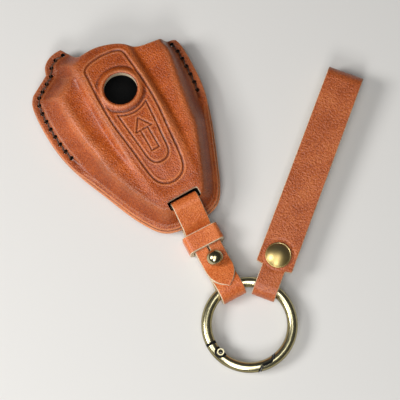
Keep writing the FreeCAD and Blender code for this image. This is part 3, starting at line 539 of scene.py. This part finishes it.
def at_shares(line, shares):
    """Points of a polyline at shares of its length."""
    way = walked(line)
    return np.column_stack([np.interp(shares * way[-1], way, line[:, k]) for k in range(2)])


def on_case(shares):
    """Plan points from shares of the half width and the length."""
    return np.asarray(shares) * [HALF_WIDTH, LENGTH] + [0, NOSE_Y]


def along(y):
    """Share of the case's length from the nose."""
    return (y - NOSE_Y) / LENGTH


def widened(line, end, step):
    """A side of the outline moved outwards by a step below the end of its seam."""
    outward = -np.sign(line[-1, 0]) * beside(unit(np.gradient(line, axis=0)))
    return line + outward * step * ramp(along(line[:, 1]), end, -STEP_FADE)[:, None]


left_edge = spline(on_case(LEFT_SIDE), 300)
right_edge = spline(on_case(RIGHT_SIDE), 300)
ear_edge = spline(on_case(EAR), 60)
mouth_edge = spline(on_case(MOUTH), 200)


def rim_of(left, right):
    """The outline without its mouth, from the ear round the nose to the right wing."""
    return np.vstack([ear_edge[::-1], left[::-1], right[1:]])


def crowded(count, ends, middle=0.0):
    """Places from 0 to 1 that crowd together over a share at each end, and by a factor about the middle."""
    t = np.linspace(0, 1, count)
    step = 1 - CROWDING * (np.exp(-t / ends) + np.exp(-(1 - t) / ends))
    step = step / (1 + middle * bell(t - 0.5, MIDDLE_REACH))
    way = np.concatenate([[0], np.cumsum((step[1:] + step[:-1]) / 2)])
    return way / way[-1]


def case_plan(columns, rows, left, right, middle):
    """Plan grid between the four sides of the outline: the blend of left and right, plus the blend of nose
    and mouth, less the blend of the four corners (a Coons patch)."""
    u, v = crowded(columns, SIDE_CROWD, middle), crowded(rows, END_CROWD)
    low_left, low_right = left[np.abs(left[:, 0]) <= NOSE_CORNER], right[right[:, 0] <= NOSE_CORNER]
    nose = np.vstack([low_left[::-1], low_right[1:]])
    left = np.vstack([left, ear_edge])
    left = left[np.argmax(np.abs(left[:, 0]) > NOSE_CORNER):]
    right = right[np.argmax(right[:, 0] > NOSE_CORNER):]
    nose = np.vstack([left[:1], nose, right[:1]])
    a, b = at_shares(left, v)[:, None], at_shares(right, v)[:, None]
    c, d = at_shares(nose, u)[None], at_shares(mouth_edge, u)[None]
    u, v = u[None, :, None], v[:, None, None]
    corners = (1 - v) * ((1 - u) * left[0] + u * right[0]) + v * ((1 - u) * left[-1] + u * right[-1])
    return (1 - u) * a + u * b + (1 - v) * c + v * d - corners


def distance_to(line, plan):
    """Shortest distance from plan points to a polyline: the least over its runs of the distance to the foot
    of the perpendicular, held between the run's ends."""
    flat = plan.reshape(-1, 2)
    start, run = line[:-1], np.diff(line, axis=0)
    keep = (run ** 2).sum(1) > 1e-12
    start, run = start[keep], run[keep]
    found = []
    for part in np.array_split(flat, max(1, len(flat) // 2000)):
        away = part[:, None] - start
        t = np.clip((away * run).sum(-1) / (run ** 2).sum(-1), 0, 1)
        found.append(np.sqrt(((away - t[..., None] * run) ** 2).sum(-1).min(1)))
    return np.concatenate(found).reshape(plan.shape[:2])


# Case heights

def crown(y):
    """Fall from the highest line, as a square of the distance, towards the mouth and the nose."""
    u = along(y) - CROWN_AT
    return 1 - np.where(u > 0, CROWN_MOUTH_FALL * (u / (1 - CROWN_AT)) ** 2,
                        CROWN_NOSE_FALL * (u / CROWN_AT) ** 2)


def widening(y, nose, seam, shares):
    """A size that grows from the nose to the sewn sides between two shares of the length."""
    low, high = shares
    return nose + (seam - nose) * smooth((along(y) - low) / (high - low))


def leftness(x):
    """One on the left and zero on the right, in a smooth step about the middle."""
    return smooth(0.5 - x / SIDE_BLEND)


def front_rise(x, y, inside, wall):
    """Rise of the front above its flat edge: a slope in from the flange with a hollow foot and a rounded
    crest, wings with a shallow valley, and a spine that grows from the nose, whose flanks are smooth steps.
    All fall with the crown. A wall draws it in for the cavity."""
    right = widening(y, RIGHT_RUN, RIGHT_MOUTH_RUN, MOUTH_RUN_SHARES)
    run = widening(y, NOSE_RUN, right + (LEFT_RUN - right) * leftness(x), RUN_SHARES)
    slope = (inside - widening(y, NOSE_FLANGE, SEAM_FLANGE, FLANGE_SHARES) - wall) * WING_RISE / run
    fade = smooth(along(y) / SPINE_FADE)
    half = SPINE_NOSE_HALF + (SPINE_HALF - SPINE_NOSE_HALF) * fade - wall
    spine = fade * smooth(1 - (np.abs(x) - half) / SPINE_FLANK)
    depth = RIGHT_VALLEY + (LEFT_VALLEY - RIGHT_VALLEY) * leftness(x)
    valley = depth * bell(inside - VALLEY_AT, VALLEY_WIDTH) * (1 - spine)
    wing = soft_least(-soft_least(-slope, 0, FOOT_ROUND), WING_RISE - valley, CREST_ROUND)
    return crown(y) * wing * (1 + spine * SPINE_RISE / WING_RISE)


def back_fall(y, inside, wall):
    """Depth of the back below its flat edge: a smooth shoulder that is shallow over the nose."""
    shoulder = smooth((inside - widening(y, NOSE_FLANGE, SEAM_FLANGE, FLANGE_SHARES) - wall) / BACK_RUN)
    return BACK_RISE * shoulder * ramp(y, NOSE_Y, BACK_NOSE_RUN)


def pressed(points):
    """Points of the pressed front, moved into the plan."""
    return np.asarray(points, float) + [PRESS_X, NOSE_Y]


def both_sides(side, foot):
    """Control points down the left side, through the foot and up the right side."""
    return [(-x, n) for x, n in reversed(side)] + [(0, foot)] + side


def pressed_lines(plan):
    """Relief that is pressed into the front: each line is a bell-shaped groove with a low bank on both sides,
    and the window has a round collar that rises to its lip in a smooth step, in a shallow moat."""
    reach = BUTTON_SIDE[-1][0]
    x = np.linspace(reach, -reach, 40)
    arch = np.column_stack([x, WINDOW_AT - np.sqrt(BUTTON_ARCH ** 2 - x ** 2)])
    panel = [(0, PANEL_TOP)] + both_sides(PANEL_SIDE, PANEL_FOOT) + [(0, PANEL_TOP)]
    button = np.vstack([spline(both_sides(BUTTON_SIDE, BUTTON_FOOT), 120), arch])
    relief = np.zeros(plan.shape[:2])
    for line, (depth, width) in ((spline(panel, 260), PANEL_GROOVE), (button, BUTTON_GROOVE),
                                 (ARROW_HEAD, ARROW_GROOVE), (ARROW_SHAFT, ARROW_GROOVE)):
        away = distance_to(pressed(line), plan)
        relief += depth * (GROOVE_BANK * bell(away - BANK_AT * width, width) - bell(away, width))
    from_window = np.linalg.norm(plan - pressed((0, WINDOW_AT)), axis=-1)
    collar = COLLAR_RISE * ramp(from_window, COLLAR_RADIUS, -COLLAR_RUN)
    lip = COLLAR_LIP * ramp(from_window, WINDOW_RADIUS + LIP_RUN, -LIP_RUN)
    return relief + collar - lip - MOAT_DEPTH * bell(from_window - COLLAR_RADIUS - MOAT_AT, MOAT_WIDTH)


def past_seam(x, y):
    """How far up from the end of its side's seam a point lies, as a share of the length."""
    return along(y) - np.where(x < 0, LEFT_SEAM_END, RIGHT_SEAM_END)


def lifted(plan, z):
    """A grid of points from plan places and heights."""
    return np.concatenate([plan, z[..., None]], axis=-1)


def shell(name, plan, outer, inner, values):
    """A closed leather shell over the plan grid: the outer face on every point, the inner on every fourth,
    and a wall whose faces join four outer runs of the edge to one inner run."""
    rows, columns = plan.shape[:2]
    step = INNER_STEP
    coarse = lifted(plan, inner)[::step, ::step]
    count = rows * columns
    few_rows, few = coarse.shape[:2]
    ring, inner_ring = border(rows, columns), border(few_rows, few, count)
    wall = [list(ring[step * k:step * k + step + 1][::-1]) + list(inner_ring[k:k + 2])
            for k in range(len(inner_ring) - 1)]
    faces = grid_faces(rows, columns).tolist()
    faces += grid_faces(few_rows, few, first=count)[:, ::-1].tolist() + wall
    points = np.vstack([lifted(plan, outer).reshape(-1, 3), coarse.reshape(-1, 3)])
    painted = {key: np.concatenate([face.ravel(), under[::step, ::step].ravel()])
               for key, (face, under) in values.items()}
    return make_piece(name, points, faces, [case_leather, raw_edge, shaded_stitch_hole], None, painted)


def softened(height, times):
    """A height grid averaged with its neighbours, a quarter to each side, several times along each axis."""
    for _ in range(2 * times):
        padded = np.vstack([height[:1], height, height[-1:]])
        height = ((padded[:-2] + 2 * height + padded[2:]) / 4).T
    return height


def rounded(inside, radius):
    """Drop of a rounded edge: a quarter circle of that radius in from the edge."""
    u = 1 - np.clip(inside / radius, 0, 1)
    return radius * (1 - np.sqrt(np.maximum(0, 1 - u * u)))


def stitch_places(line, end):
    """Hole places at the stitch pitch on a line set in from the rim, from its top to its end."""
    side = 1 if line[-1, 0] > 0 else -1
    path = (line[:-1] + STITCH_INSET * side * beside(unit(np.diff(line, axis=0))))[::-1]
    path = path[along(path[:, 1]) > end]
    length = walked(path)[-1]
    return at_shares(path, np.arange(0, length, STITCH_PITCH) / length)


left_holes = stitch_places(np.vstack([left_edge, ear_edge]), LEFT_SEAM_END)
right_holes = stitch_places(right_edge, RIGHT_SEAM_END)


def slot_outline(nose_side, more=0.0):
    """Long hole with rounded corners, across the middle, as a squared-off oval."""
    turn = turns(64)
    square = [np.sign(wave) * np.abs(wave) ** SLOT_SQUARE for wave in (np.cos(turn), np.sin(turn))]
    middle, reach = (SLOT_MOUTH_SIDE - nose_side) / 2, (SLOT_MOUTH_SIDE + nose_side) / 2
    return np.column_stack([(SLOT_HALF + more) * square[0], SLOT_Y + middle + (reach + more) * square[1]])


def stitch_punches():
    """Punches for every stitch hole, whose walls take the near-black painted shade."""
    holes = np.vstack([left_holes, right_holes])
    return [bar(arc(HOLE_RADIUS, turns(14), place), *STITCH_PUNCH, shaded_stitch_hole) for place in holes]


def sheet_piece(name, plan, high, low):
    """A thin closed sheet between two height grids over one plan."""
    rows, columns = plan.shape[:2]
    count = rows * columns
    ring = border(rows, columns)
    faces = grid_faces(rows, columns).tolist()
    faces += grid_faces(rows, columns, first=count)[:, ::-1].tolist()
    faces += np.stack([ring[1:], ring[:-1], ring[:-1] + count, ring[1:] + count], axis=-1).tolist()
    points = np.vstack([lifted(plan, z).reshape(-1, 3) for z in (high, low)])
    return make_piece(name, points, faces, [lining_suede])


def case_grid(step, grid, middle=0.0):
    """Plan grid of a shell whose open sides are moved out by a step, with each point's x and y, its distances
    from the rim and from the nearest edge, and one along the sewn sides."""
    left, right = widened(left_edge, LEFT_SEAM_END, step), widened(right_edge, RIGHT_SEAM_END, step)
    plan = case_plan(*grid, left, right, middle)
    x, y = plan[..., 0], plan[..., 1]
    inside = distance_to(rim_of(left, right), plan)
    edge = np.minimum(inside, distance_to(mouth_edge, plan))
    return plan, x, y, inside, edge, ramp(past_seam(x, y), *SEAM_RAMP)


def lining_grid(plan, low, top, side, step):
    """The trimmed plan grid of a lining, with each point's x and y and its distance from the rim."""
    part = plan[low:-top:step, side:-side:step]
    return part, part[..., 0], part[..., 1], distance_to(rim_of(left_edge, right_edge), part)


def make_front():
    """Front shell with its pressed lines, window, slot and stitch holes, and the lining under it."""
    plan, x, y, inside, edge, sewn = case_grid(FRONT_STEP, FRONT_GRID, FRONT_MIDDLE)
    unsewn = ramp(past_seam(x, y), *OPEN_RAMP)
    base = softened(front_rise(x, y, inside, 0), BASE_SOFT)
    slot_lip = SLOT_LIP_RISE * bell(y - SLOT_Y - SLOT_LIP_AT, SLOT_LIP_WIDTH)
    relief = pressed_lines(plan) + slot_lip * ramp(np.abs(x), *SLOT_LIP_ENDS)
    channel = CHANNEL_DEPTH * bell(inside - STITCH_INSET, CHANNEL_WIDTH)
    relief += (CHANNEL_BANK * bell(inside - STITCH_INSET - BANK_INSET, BANK_WIDTH) - channel) * sewn
    relief += BEAD_RISE * bell(inside - BEAD_AT, BEAD_WIDTH) * unsewn
    outer = SEAM_Z + CASE_LEATHER + base + relief - rounded(edge, EDGE_ROUND)
    inner = np.maximum(SEAM_Z, SEAM_Z - CAVITY_SINK + front_rise(x, y, inside, CAVITY_WALL))
    inner += rounded(edge, SEAM_ROUND) * (1 - SEWN_SHUT * sewn) + OPEN_GAP * bell(edge, GAP_REACH) * unsewn
    # Painted highlight on the banks of pressed lines and on rounded crests, lighter worn edges, and painted
    # shade in the lines, on the flanks and towards the mouth
    curve, crest = relief - softened(relief, LINE_SOFT), base - softened(base, CREST_SOFT)
    wear_and_highlight = np.clip(curve / LINE_CURVE, 0, 1) * LINE_HIGHLIGHT + np.clip(crest / CREST_CURVE, 0, 1) * CREST_HIGHLIGHT
    wear_and_highlight += EDGE_WEAR * bell(edge, EDGE_REACH)
    flank_and_mouth_shade = FLANK_DARK * ramp(inside, *FLANK_END) * ramp(inside, *FLANK_START)
    flank_and_mouth_shade += MOUTH_DARK * ramp(along(y), *MOUTH_RAMP)
    painted_shade = np.maximum(np.clip(-curve / LINE_CURVE, 0, 1) * LINE_DARK, flank_and_mouth_shade)
    # Outer face: worn edges with painted highlight, and painted shade; the inner face and its wall are
    # painted shade throughout
    values = {"wear_and_highlight": (wear_and_highlight, 0 * edge), "painted_shade": (painted_shade, 1 + 0 * edge)}
    front = shell("moulded_front", plan, outer, inner, values)
    window = bar(arc(WINDOW_RADIUS, turns(96), pressed((0, WINDOW_AT))), *FRONT_PUNCH, raw_edge)
    slot = bar(slot_outline(SLOT_NOSE_SIDE), *FRONT_PUNCH, raw_edge)
    cut(front, [window, slot] + stitch_punches())
    sharpen(front, CASE_CRISP)

    part, x, y, inside = lining_grid(plan, *FRONT_TRIM)
    top = SEAM_Z - CAVITY_SINK - GLUE + front_rise(x, y, inside, CAVITY_WALL)
    lining = sheet_piece("front_lining_suede", part, top, top - LINING)
    window = arc(WINDOW_RADIUS + LINING_GAP, turns(64), pressed((0, WINDOW_AT)))
    slot = slot_outline(SLOT_NOSE_SIDE, LINING_GAP)
    cut(lining, [bar(outline, *FRONT_PUNCH, lining_suede) for outline in (window, slot)])
    sharpen(lining, CASE_CRISP)
    return front, lining


def make_back():
    """Back shell, flat where the case lies, with its slot and stitch holes, and the lining in it."""
    plan, _, y, inside, edge, sewn = case_grid(BACK_STEP, BACK_GRID)
    channel = CHANNEL_DEPTH * bell(inside - STITCH_INSET, CHANNEL_WIDTH) * sewn
    outer = np.maximum(0.0, SEAM_Z - CASE_LEATHER - back_fall(y, inside, 0)) + channel
    outer += rounded(edge, EDGE_ROUND)
    inner = np.minimum(SEAM_Z, SEAM_Z + CAVITY_SINK - back_fall(y, inside, CAVITY_WALL))
    inner -= rounded(edge, SEAM_ROUND) * (1 - SEWN_SHUT * sewn)
    # Lighter about a band on the back's shoulder and at worn edges; the inner face is tan at its worn lip and
    # painted shade further in, under the front
    lightened = BACK_WEAR * bell(inside - BACK_WEAR_AT, BACK_WEAR_WIDTH) + EDGE_WEAR * bell(edge, BACK_EDGE_REACH)
    values = {"wear_and_highlight": (lightened, LIP_WEAR * bell(edge, EDGE_REACH)),
              "painted_shade": (0 * edge, ramp(edge, *LIP_RAMP))}
    back = shell("moulded_back", plan, outer, inner, values)
    slot = bar(slot_outline(BACK_NOSE_SIDE), *BACK_PUNCH, raw_edge)
    cut(back, [slot] + stitch_punches())
    sharpen(back, CASE_CRISP)

    part, _, y, inside = lining_grid(plan, *BACK_TRIM)
    low = SEAM_Z + CAVITY_SINK + GLUE - back_fall(y, inside, CAVITY_WALL)
    lining = sheet_piece("back_lining_suede", part, low + LINING, low)
    slot = slot_outline(BACK_NOSE_SIDE, LINING_GAP)
    cut(lining, [bar(slot, *BACK_PUNCH, lining_suede)])
    return back, lining


for piece, (node, slot) in zip(make_front() + make_back(), (
        ("front_shell", "case_leather"), ("front_lining", "lining"),
        ("back_shell", "case_leather"), ("back_lining", "lining"))):
    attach(piece, "case")
    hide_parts(node)


# Seam threads

def seam_thread(name, holes, node):
    """One thread laid as a wave: on each face it runs slanting from hole to hole in a low arch and dips into
    the holes. Its section is two plies: the radius swells twice round, and the swell turns along it."""
    t = np.linspace(0, 1, THREAD_STEPS, endpoint=False)
    share = np.concatenate([k + t for k in range(len(holes) - 1)] + [[len(holes) - 1.0]])
    k = np.minimum(share.astype(int), len(holes) - 2)
    u = (share - k)[:, None]
    run = holes[k + 1] - holes[k]
    slant = unit(beside(run)) * THREAD_SLANT * np.cos(np.pi * u)
    plan = holes[k] + run * (THREAD_INSET + (1 - 2 * THREAD_INSET) * u)
    lift = (CASE_LEATHER - THREAD_SINK) * np.minimum(1, np.sin(np.pi * u[:, 0]) * ARCH_STEEP) ** ARCH_POWER
    upper = np.column_stack([plan + slant, SEAM_Z + THREAD_START + lift])
    lower = np.column_stack([plan - slant, SEAM_Z - THREAD_START - lift])[::-1]
    path = np.vstack([upper, lower])
    ahead = unit(np.gradient(path, axis=0))
    across = unit(np.cross(ahead, [0, 0, 1.0]))
    over = np.cross(across, ahead)
    turn = turns(12)
    swell = np.cos(2 * (turn[None] - walked(path)[:, None] * PLY_TWIST))
    radius = THREAD_RADIUS * (1 + PLY_SWELL * swell)
    points = path[:, None] + radius[..., None] * (np.cos(turn)[:, None] * across[:, None]
                                                  + np.sin(turn)[:, None] * over[:, None])
    piece = make_piece(name, points, tube_faces(len(path), len(turn)), [waxed_thread])
    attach(piece, "case")
    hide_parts(node)


seam_thread("left_seam_stitches", left_holes, "left_seam_thread")
seam_thread("right_seam_stitches", right_holes, "right_seam_thread")


# Straps

def rounded_path(corners, radii):
    """A line through corners with a tangent arc at each inner one, sampled at an even step: an arc starts its
    radius over the tangent of half the corner's angle before the corner."""
    p = np.asarray(corners, float)
    pieces = [p[:1]]
    for before, corner, after, radius in zip(p, p[1:], p[2:], radii):
        back, ahead = unit(before - corner), unit(after - corner)
        half = math.acos(np.clip(back @ ahead, -1, 1)) / 2
        centre = corner + unit(back + ahead) * radius / math.sin(half)
        start, end = corner + back * radius / math.tan(half), corner + ahead * radius / math.tan(half)
        t = np.linspace(0, 1, 16)[:, None]
        sweep = np.pi - 2 * half
        weights = np.sin((1 - t) * sweep) / math.sin(sweep), np.sin(t * sweep) / math.sin(sweep)
        pieces.append(centre + weights[0] * (start - centre) + weights[1] * (end - centre))
    line = np.vstack(pieces + [p[-1:]])
    return at_shares(line, np.linspace(0, 1, int(walked(line)[-1] / PATH_STEP)))


def section(thickness, across, corner=0):
    """Section of a strip as three rows: factor of the half width, added width and height. The grain side is
    flat with soft edges, the cut sides are upright and the flesh side is flat. Also each run's material."""
    r, f = GRAIN_ROUND, FLESH_ROUND
    flat = np.linspace(-1, 1, across)
    top, low = thickness / 2, -thickness / 2
    right = [(1, -r + r * math.sin(a), top - r + r * math.cos(a)) for a in np.radians([25, 50, 75])]
    right += [(1, 0, top - r), (1, 0, low + f)]
    left = [(-s, -w, z) for s, w, z in reversed(right)]
    rows = [(a, -a * r, top) for a in flat] + right + [(a, -a * f, low) for a in flat[::-1]] + left
    kinds = [0] * (across - 1) + [corner, 1, 1, 1, 1, 1] + [2] * (across - 1) + [1, 1, 1, 1, 1, corner]
    return np.array(rows).T, kinds


def strip(name, path, half, thickness, across, place, grain, sink=None, skive=0.0):
    """A strip of leather: its section carried along a path in the plane of run and height, square to it, then
    turned about the upright and moved to its place. A sink lowers the grain side at plan points, and a skive
    thins the strip from its grain side along the path."""
    (factor, extra, height), kinds = section(thickness, across)
    normal = beside(unit(np.gradient(path, axis=0)))
    wide = half[:, None] * factor + extra
    height = height - np.reshape(skive, (-1, 1)) * (height > 0)
    run = path[:, :1] + normal[:, :1] * height
    rise = path[:, 1:] + normal[:, 1:] * height
    if sink is not None:
        rise = rise - sink(wide, run) * (height > thickness / 2 - 0.01) * (normal[:, 1:] > 0.9)
    points = placed(np.stack([wide, run, rise], axis=-1), place)
    rows, columns = wide.shape
    material = np.concatenate([np.tile(kinds, rows - 1), [1, 1]])
    return make_piece(name, points, tube_faces(rows, columns), [grain, raw_edge, flesh_side], material)


def placed(points, place):
    """Points turned about the upright and moved in plan."""
    (right, up), degrees = place
    c, s = math.cos(math.radians(degrees)), math.sin(math.radians(degrees))
    x, y, z = np.moveaxis(points, -1, 0)
    return np.stack([c * x - s * y + right, s * x + c * y + up, z], axis=-1)


def on_strap(outline):
    """A plan outline of the connector strap's own frame, in the frame of the solids."""
    flat = np.column_stack([outline, np.zeros(len(outline))])
    return placed(flat, STRAP_PLACE)[:, :2]


def slit_outline(half):
    """The slit from the stud's hole towards the keeper."""
    far = SLIT_LENGTH - STUD_AT
    return on_strap([(-half, -STUD_AT), (half, -STUD_AT), (half, far), (-half, far)])


def make_connector():
    """The connector strap: a pointed tip that narrows by a power of the way along it, straight sides, and a
    narrower stretch round the ring, with a bevelled slit from the stud's hole towards the keeper."""
    path = rounded_path(TIP_PATH, TIP_RADII)
    at = path[:, 0]
    tip = np.clip((at - TIP_AT + TIP_LENGTH) / TIP_LENGTH, 0, 1)
    on_tip = np.arange(len(path)) < np.argmax(at < KEEPER_AT)
    narrow = STRAP_HALF - (STRAP_HALF - STRAP_RING_HALF) * np.clip((at - KEEPER_AT) / NARROW_RUN, 0, 1)
    half = np.where(on_tip, np.maximum(STRAP_HALF * (1 - tip ** TIP_POWER), TIP_LEAST), narrow)
    skive = on_tip * SKIVE_DEPTH * smooth((at - TIP_AT + SKIVE_LENGTH) / SKIVE_LENGTH)
    strap = strip("connector_strap", path * [-1, 1], half, STRAP_LEATHER, 25, STRAP_PLACE,
                  strap_leather, skive=skive)
    face, low = TIP_PATH[2][1] + STRAP_LEATHER / 2, TIP_PATH[2][1] - STRAP_LEATHER / 2 - PUNCH_BELOW
    narrow = slit_outline(SLIT_HALF)
    bevel = bar(slit_outline(SLIT_BEVEL), face - SLIT_DEPTH, face + PUNCH_ABOVE, raw_edge, narrow)
    # The slit's narrow walls take the black suede: painted shade in the slit
    slit = bar(narrow, low, PUNCH_TOP, lining_suede)
    hole = bar(on_strap(arc(STUD_HOLE, turns(32), (0, -STUD_AT))), low, PUNCH_TOP, raw_edge)
    for punch in (bevel, slit, hole):
        cut(strap, [punch])
    sharpen(strap, STRAP_CRISP)
    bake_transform(strap)
    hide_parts("strap_root", "strap_ring_leg", "strap_tip_leg")


def make_keeper():
    """The keeper: a strip's section carried round a closed rounded rectangle about the strap's layers."""
    half, low, high, radius = KEEPER_LOOP
    bend = arc(radius, np.radians(np.linspace(90, 0, 9)))
    corner = np.array([(half - radius, high - radius), (half - radius, low + radius)])
    right = np.vstack([corner[0] + bend, corner[1] + (bend * [1, -1])[::-1]])
    loop = np.vstack([right, (right * [-1, 1])[::-1], right[:1]])
    loop = at_shares(loop, np.linspace(0, 1, 121))[:-1]
    normal = beside(unit(np.roll(loop, -1, axis=0) - np.roll(loop, 1, axis=0)))
    (factor, extra, height), kinds = section(KEEPER_LEATHER, 17, 1)
    wide = KEEPER_LENGTH / 2 * factor + extra
    points = np.stack([loop[:, :1] + normal[:, :1] * height, np.tile(wide - KEEPER_AT, (len(loop), 1)),
                       loop[:, 1:] + normal[:, 1:] * height], axis=-1)
    faces = grid_faces(len(loop), len(wide), wrap_rows=True, wrap_columns=True).tolist()
    keeper = make_piece("keeper_band", placed(points, STRAP_PLACE), faces,
                        [strap_leather, raw_edge, flesh_side], np.tile(kinds, len(loop)))
    sharpen(keeper, STRAP_CRISP)
    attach(keeper, "keeper")
    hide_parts("keeper_loop")


def make_wrist():
    """The wrist strap: full width, with a narrow neck round the ring whose shoulders step in over a quarter
    circle, and a ring pressed into the grain side about the snap."""
    path = rounded_path(WRIST_PATH, WRIST_RADII)
    at = path[:, 0]
    shoulder = np.where(path[:, 1] < RING_CENTRE[2], LOW_SHOULDER_AT, SHOULDER_AT)
    step = np.clip((at - shoulder + SHOULDER_ROUND) / SHOULDER_ROUND, 0, 1)
    fillet = SHOULDER_ROUND * (1 - np.sqrt(1 - np.minimum(step, 0.999) ** 2))
    near = np.arange(len(path)) < len(path) * TAIL_SHARE
    half = np.where(near & (at < shoulder), NECK_HALF + fillet, WRIST_HALF)
    nicked = near & (np.abs(at - shoulder - NICK_REACH) < NICK_REACH)
    half = np.where(nicked, WRIST_HALF - SHOULDER_NICK, half)

    def snap_press(x, y):
        """Depth of the ring about the snap: a bell across its radius."""
        return SNAP_PRESS_DEPTH * bell(np.hypot(x, y - SNAP_AT) - SNAP_PRESS_RADIUS, SNAP_PRESS_WIDTH)

    strap = strip("wrist_strap_leather", path, half, WRIST_LEATHER, 41, WRIST_PLACE,
                  wrist_leather, sink=snap_press)
    sharpen(strap, STRAP_CRISP)
    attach(strap, "wrist")
    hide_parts("wrist_strap")


make_connector()
make_keeper()
make_wrist()


# Turned metal pieces

def lathe(name, profile, place, material):
    """A turned piece: a profile of radius and height carried round an upright axis."""
    r, z = np.asarray(profile, float).T
    turn = turns(72)
    points = np.stack([place[0] + r[:, None] * np.cos(turn), place[1] + r[:, None] * np.sin(turn),
                       z[:, None] + 0 * turn], axis=-1)
    piece = make_piece(name, points, tube_faces(len(r), len(turn)), [material])
    sharpen(piece, METAL_CRISP)
    return piece


ball = arc(BALL_RADIUS, np.radians(np.linspace(*BALL_DEGREES, 40)), (0, BALL_Z))
ball_stud = lathe("turned_ball_stud", np.vstack([STUD_PROFILE, ball]), on_strap([(0, -STUD_AT)])[0],
                  ball_brass)
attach(ball_stud, "strap")
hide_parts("ball_stud")

dome = np.linspace(1, 0.01, 30)[1:]
dome_z = SNAP_SEAT + DOME_FOOT + (CAP_HEIGHT - DOME_FOOT) * (1 - dome ** DOME_POWER)
rolled = arc(CAP_ROLL, np.radians(np.linspace(*CAP_ROLL_DEGREES, 9)),
             (CAP_RADIUS - CAP_ROLL, SNAP_SEAT + CAP_ROLL))
cap = np.vstack([CAP_SHANK, rolled, np.column_stack([(CAP_RADIUS - DOME_INSET) * dome, dome_z])])
snap_cap = lathe("domed_snap_cap", cap, placed(np.array([0, SNAP_AT, 0]), WRIST_PLACE), cap_brass)
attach(snap_cap, "wrist")
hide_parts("snap_cap")

for node, material in (("stud_screw", ball_brass), ("ring_body", ring_brass), ("ring_gate", ring_brass),
                       ("gate_rivet", rivet_brass), ("gate_spring", spring_steel), ("snap_socket", cap_brass),
                       ("snap_stud", cap_brass), ("snap_post", cap_brass)):
    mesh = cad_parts[node].data
    mesh.materials.clear()
    mesh.materials.append(material)


# Floor, light and camera

floor_material, floor_tree, floor_shader = finish("matt_paper_sweep")
wire(floor_tree, floor_shader, Base_Color=srgb("#D9D7D3"), Roughness=0.9)
floor_mesh = bpy.data.meshes.new("floor")
floor_corners = [(x * FLOOR_HALF, y * FLOOR_HALF, 0) for x, y in ((-1, -1), (1, -1), (1, 1), (-1, 1))]
floor_mesh.from_pydata(floor_corners, [], [(0, 1, 2, 3)])
floor_mesh.materials.append(floor_material)
floor = into_scene("floor", floor_mesh)

world = bpy.data.worlds.new("studio")
bpy.context.scene.world = world
world.use_nodes = True
wire(world.node_tree, world.node_tree.nodes["Background"], Color=srgb("#C9CBCE"), Strength=0.08)

# Camera: seen from the nose's side, steeply from above, and rolled so that the case leans to the left
rise, roll = math.radians(ELEVATION), math.radians(ROLL)
view_dir = Vector((math.cos(rise) * math.sin(roll), math.cos(rise) * math.cos(roll), -math.sin(rise)))
up_dir = Vector((math.sin(rise) * math.sin(roll), math.sin(rise) * math.cos(roll), math.cos(rise)))
right_dir = view_dir.cross(up_dir)
camera_data = bpy.data.cameras.new("camera")
camera_data.lens = PIXELS_PER_MM * DISTANCE / IMAGE_PIXELS * SENSOR_MM
camera_data.clip_start = 0.01
camera = into_scene("camera", camera_data)
camera.matrix_world = Matrix.Translation((Vector(TARGET) - view_dir * DISTANCE) * MM) @ Matrix(
    (right_dir, up_dir, -view_dir)).transposed().to_4x4()
bpy.context.scene.camera = camera


def softbox(name, place, width, height, watts):
    """An area lamp aimed at the target, from distances to the camera's right, upwards and towards it."""
    lamp = bpy.data.lights.new(name, "AREA")
    lamp.shape = "RECTANGLE"
    lamp.size, lamp.size_y = width * MM, height * MM
    lamp.energy = watts
    holder = into_scene(name, lamp)
    away = right_dir * place[0] + up_dir * place[1] - view_dir * place[2]
    spot = Matrix.Translation((Vector(TARGET) + away) * MM)
    holder.matrix_world = spot @ (-away).to_track_quat("-Z", "Y").to_matrix().to_4x4()


softbox("overhead_softbox", (-30, 0, 700), 380, 440, 1.9)
softbox("low_softbox", (-120, -380, 580), 220, 220, 1.7)
softbox("left_softbox", (-500, 10, 470), 240, 240, 3.2)

bpy.context.scene.view_settings.view_transform = "Standard"
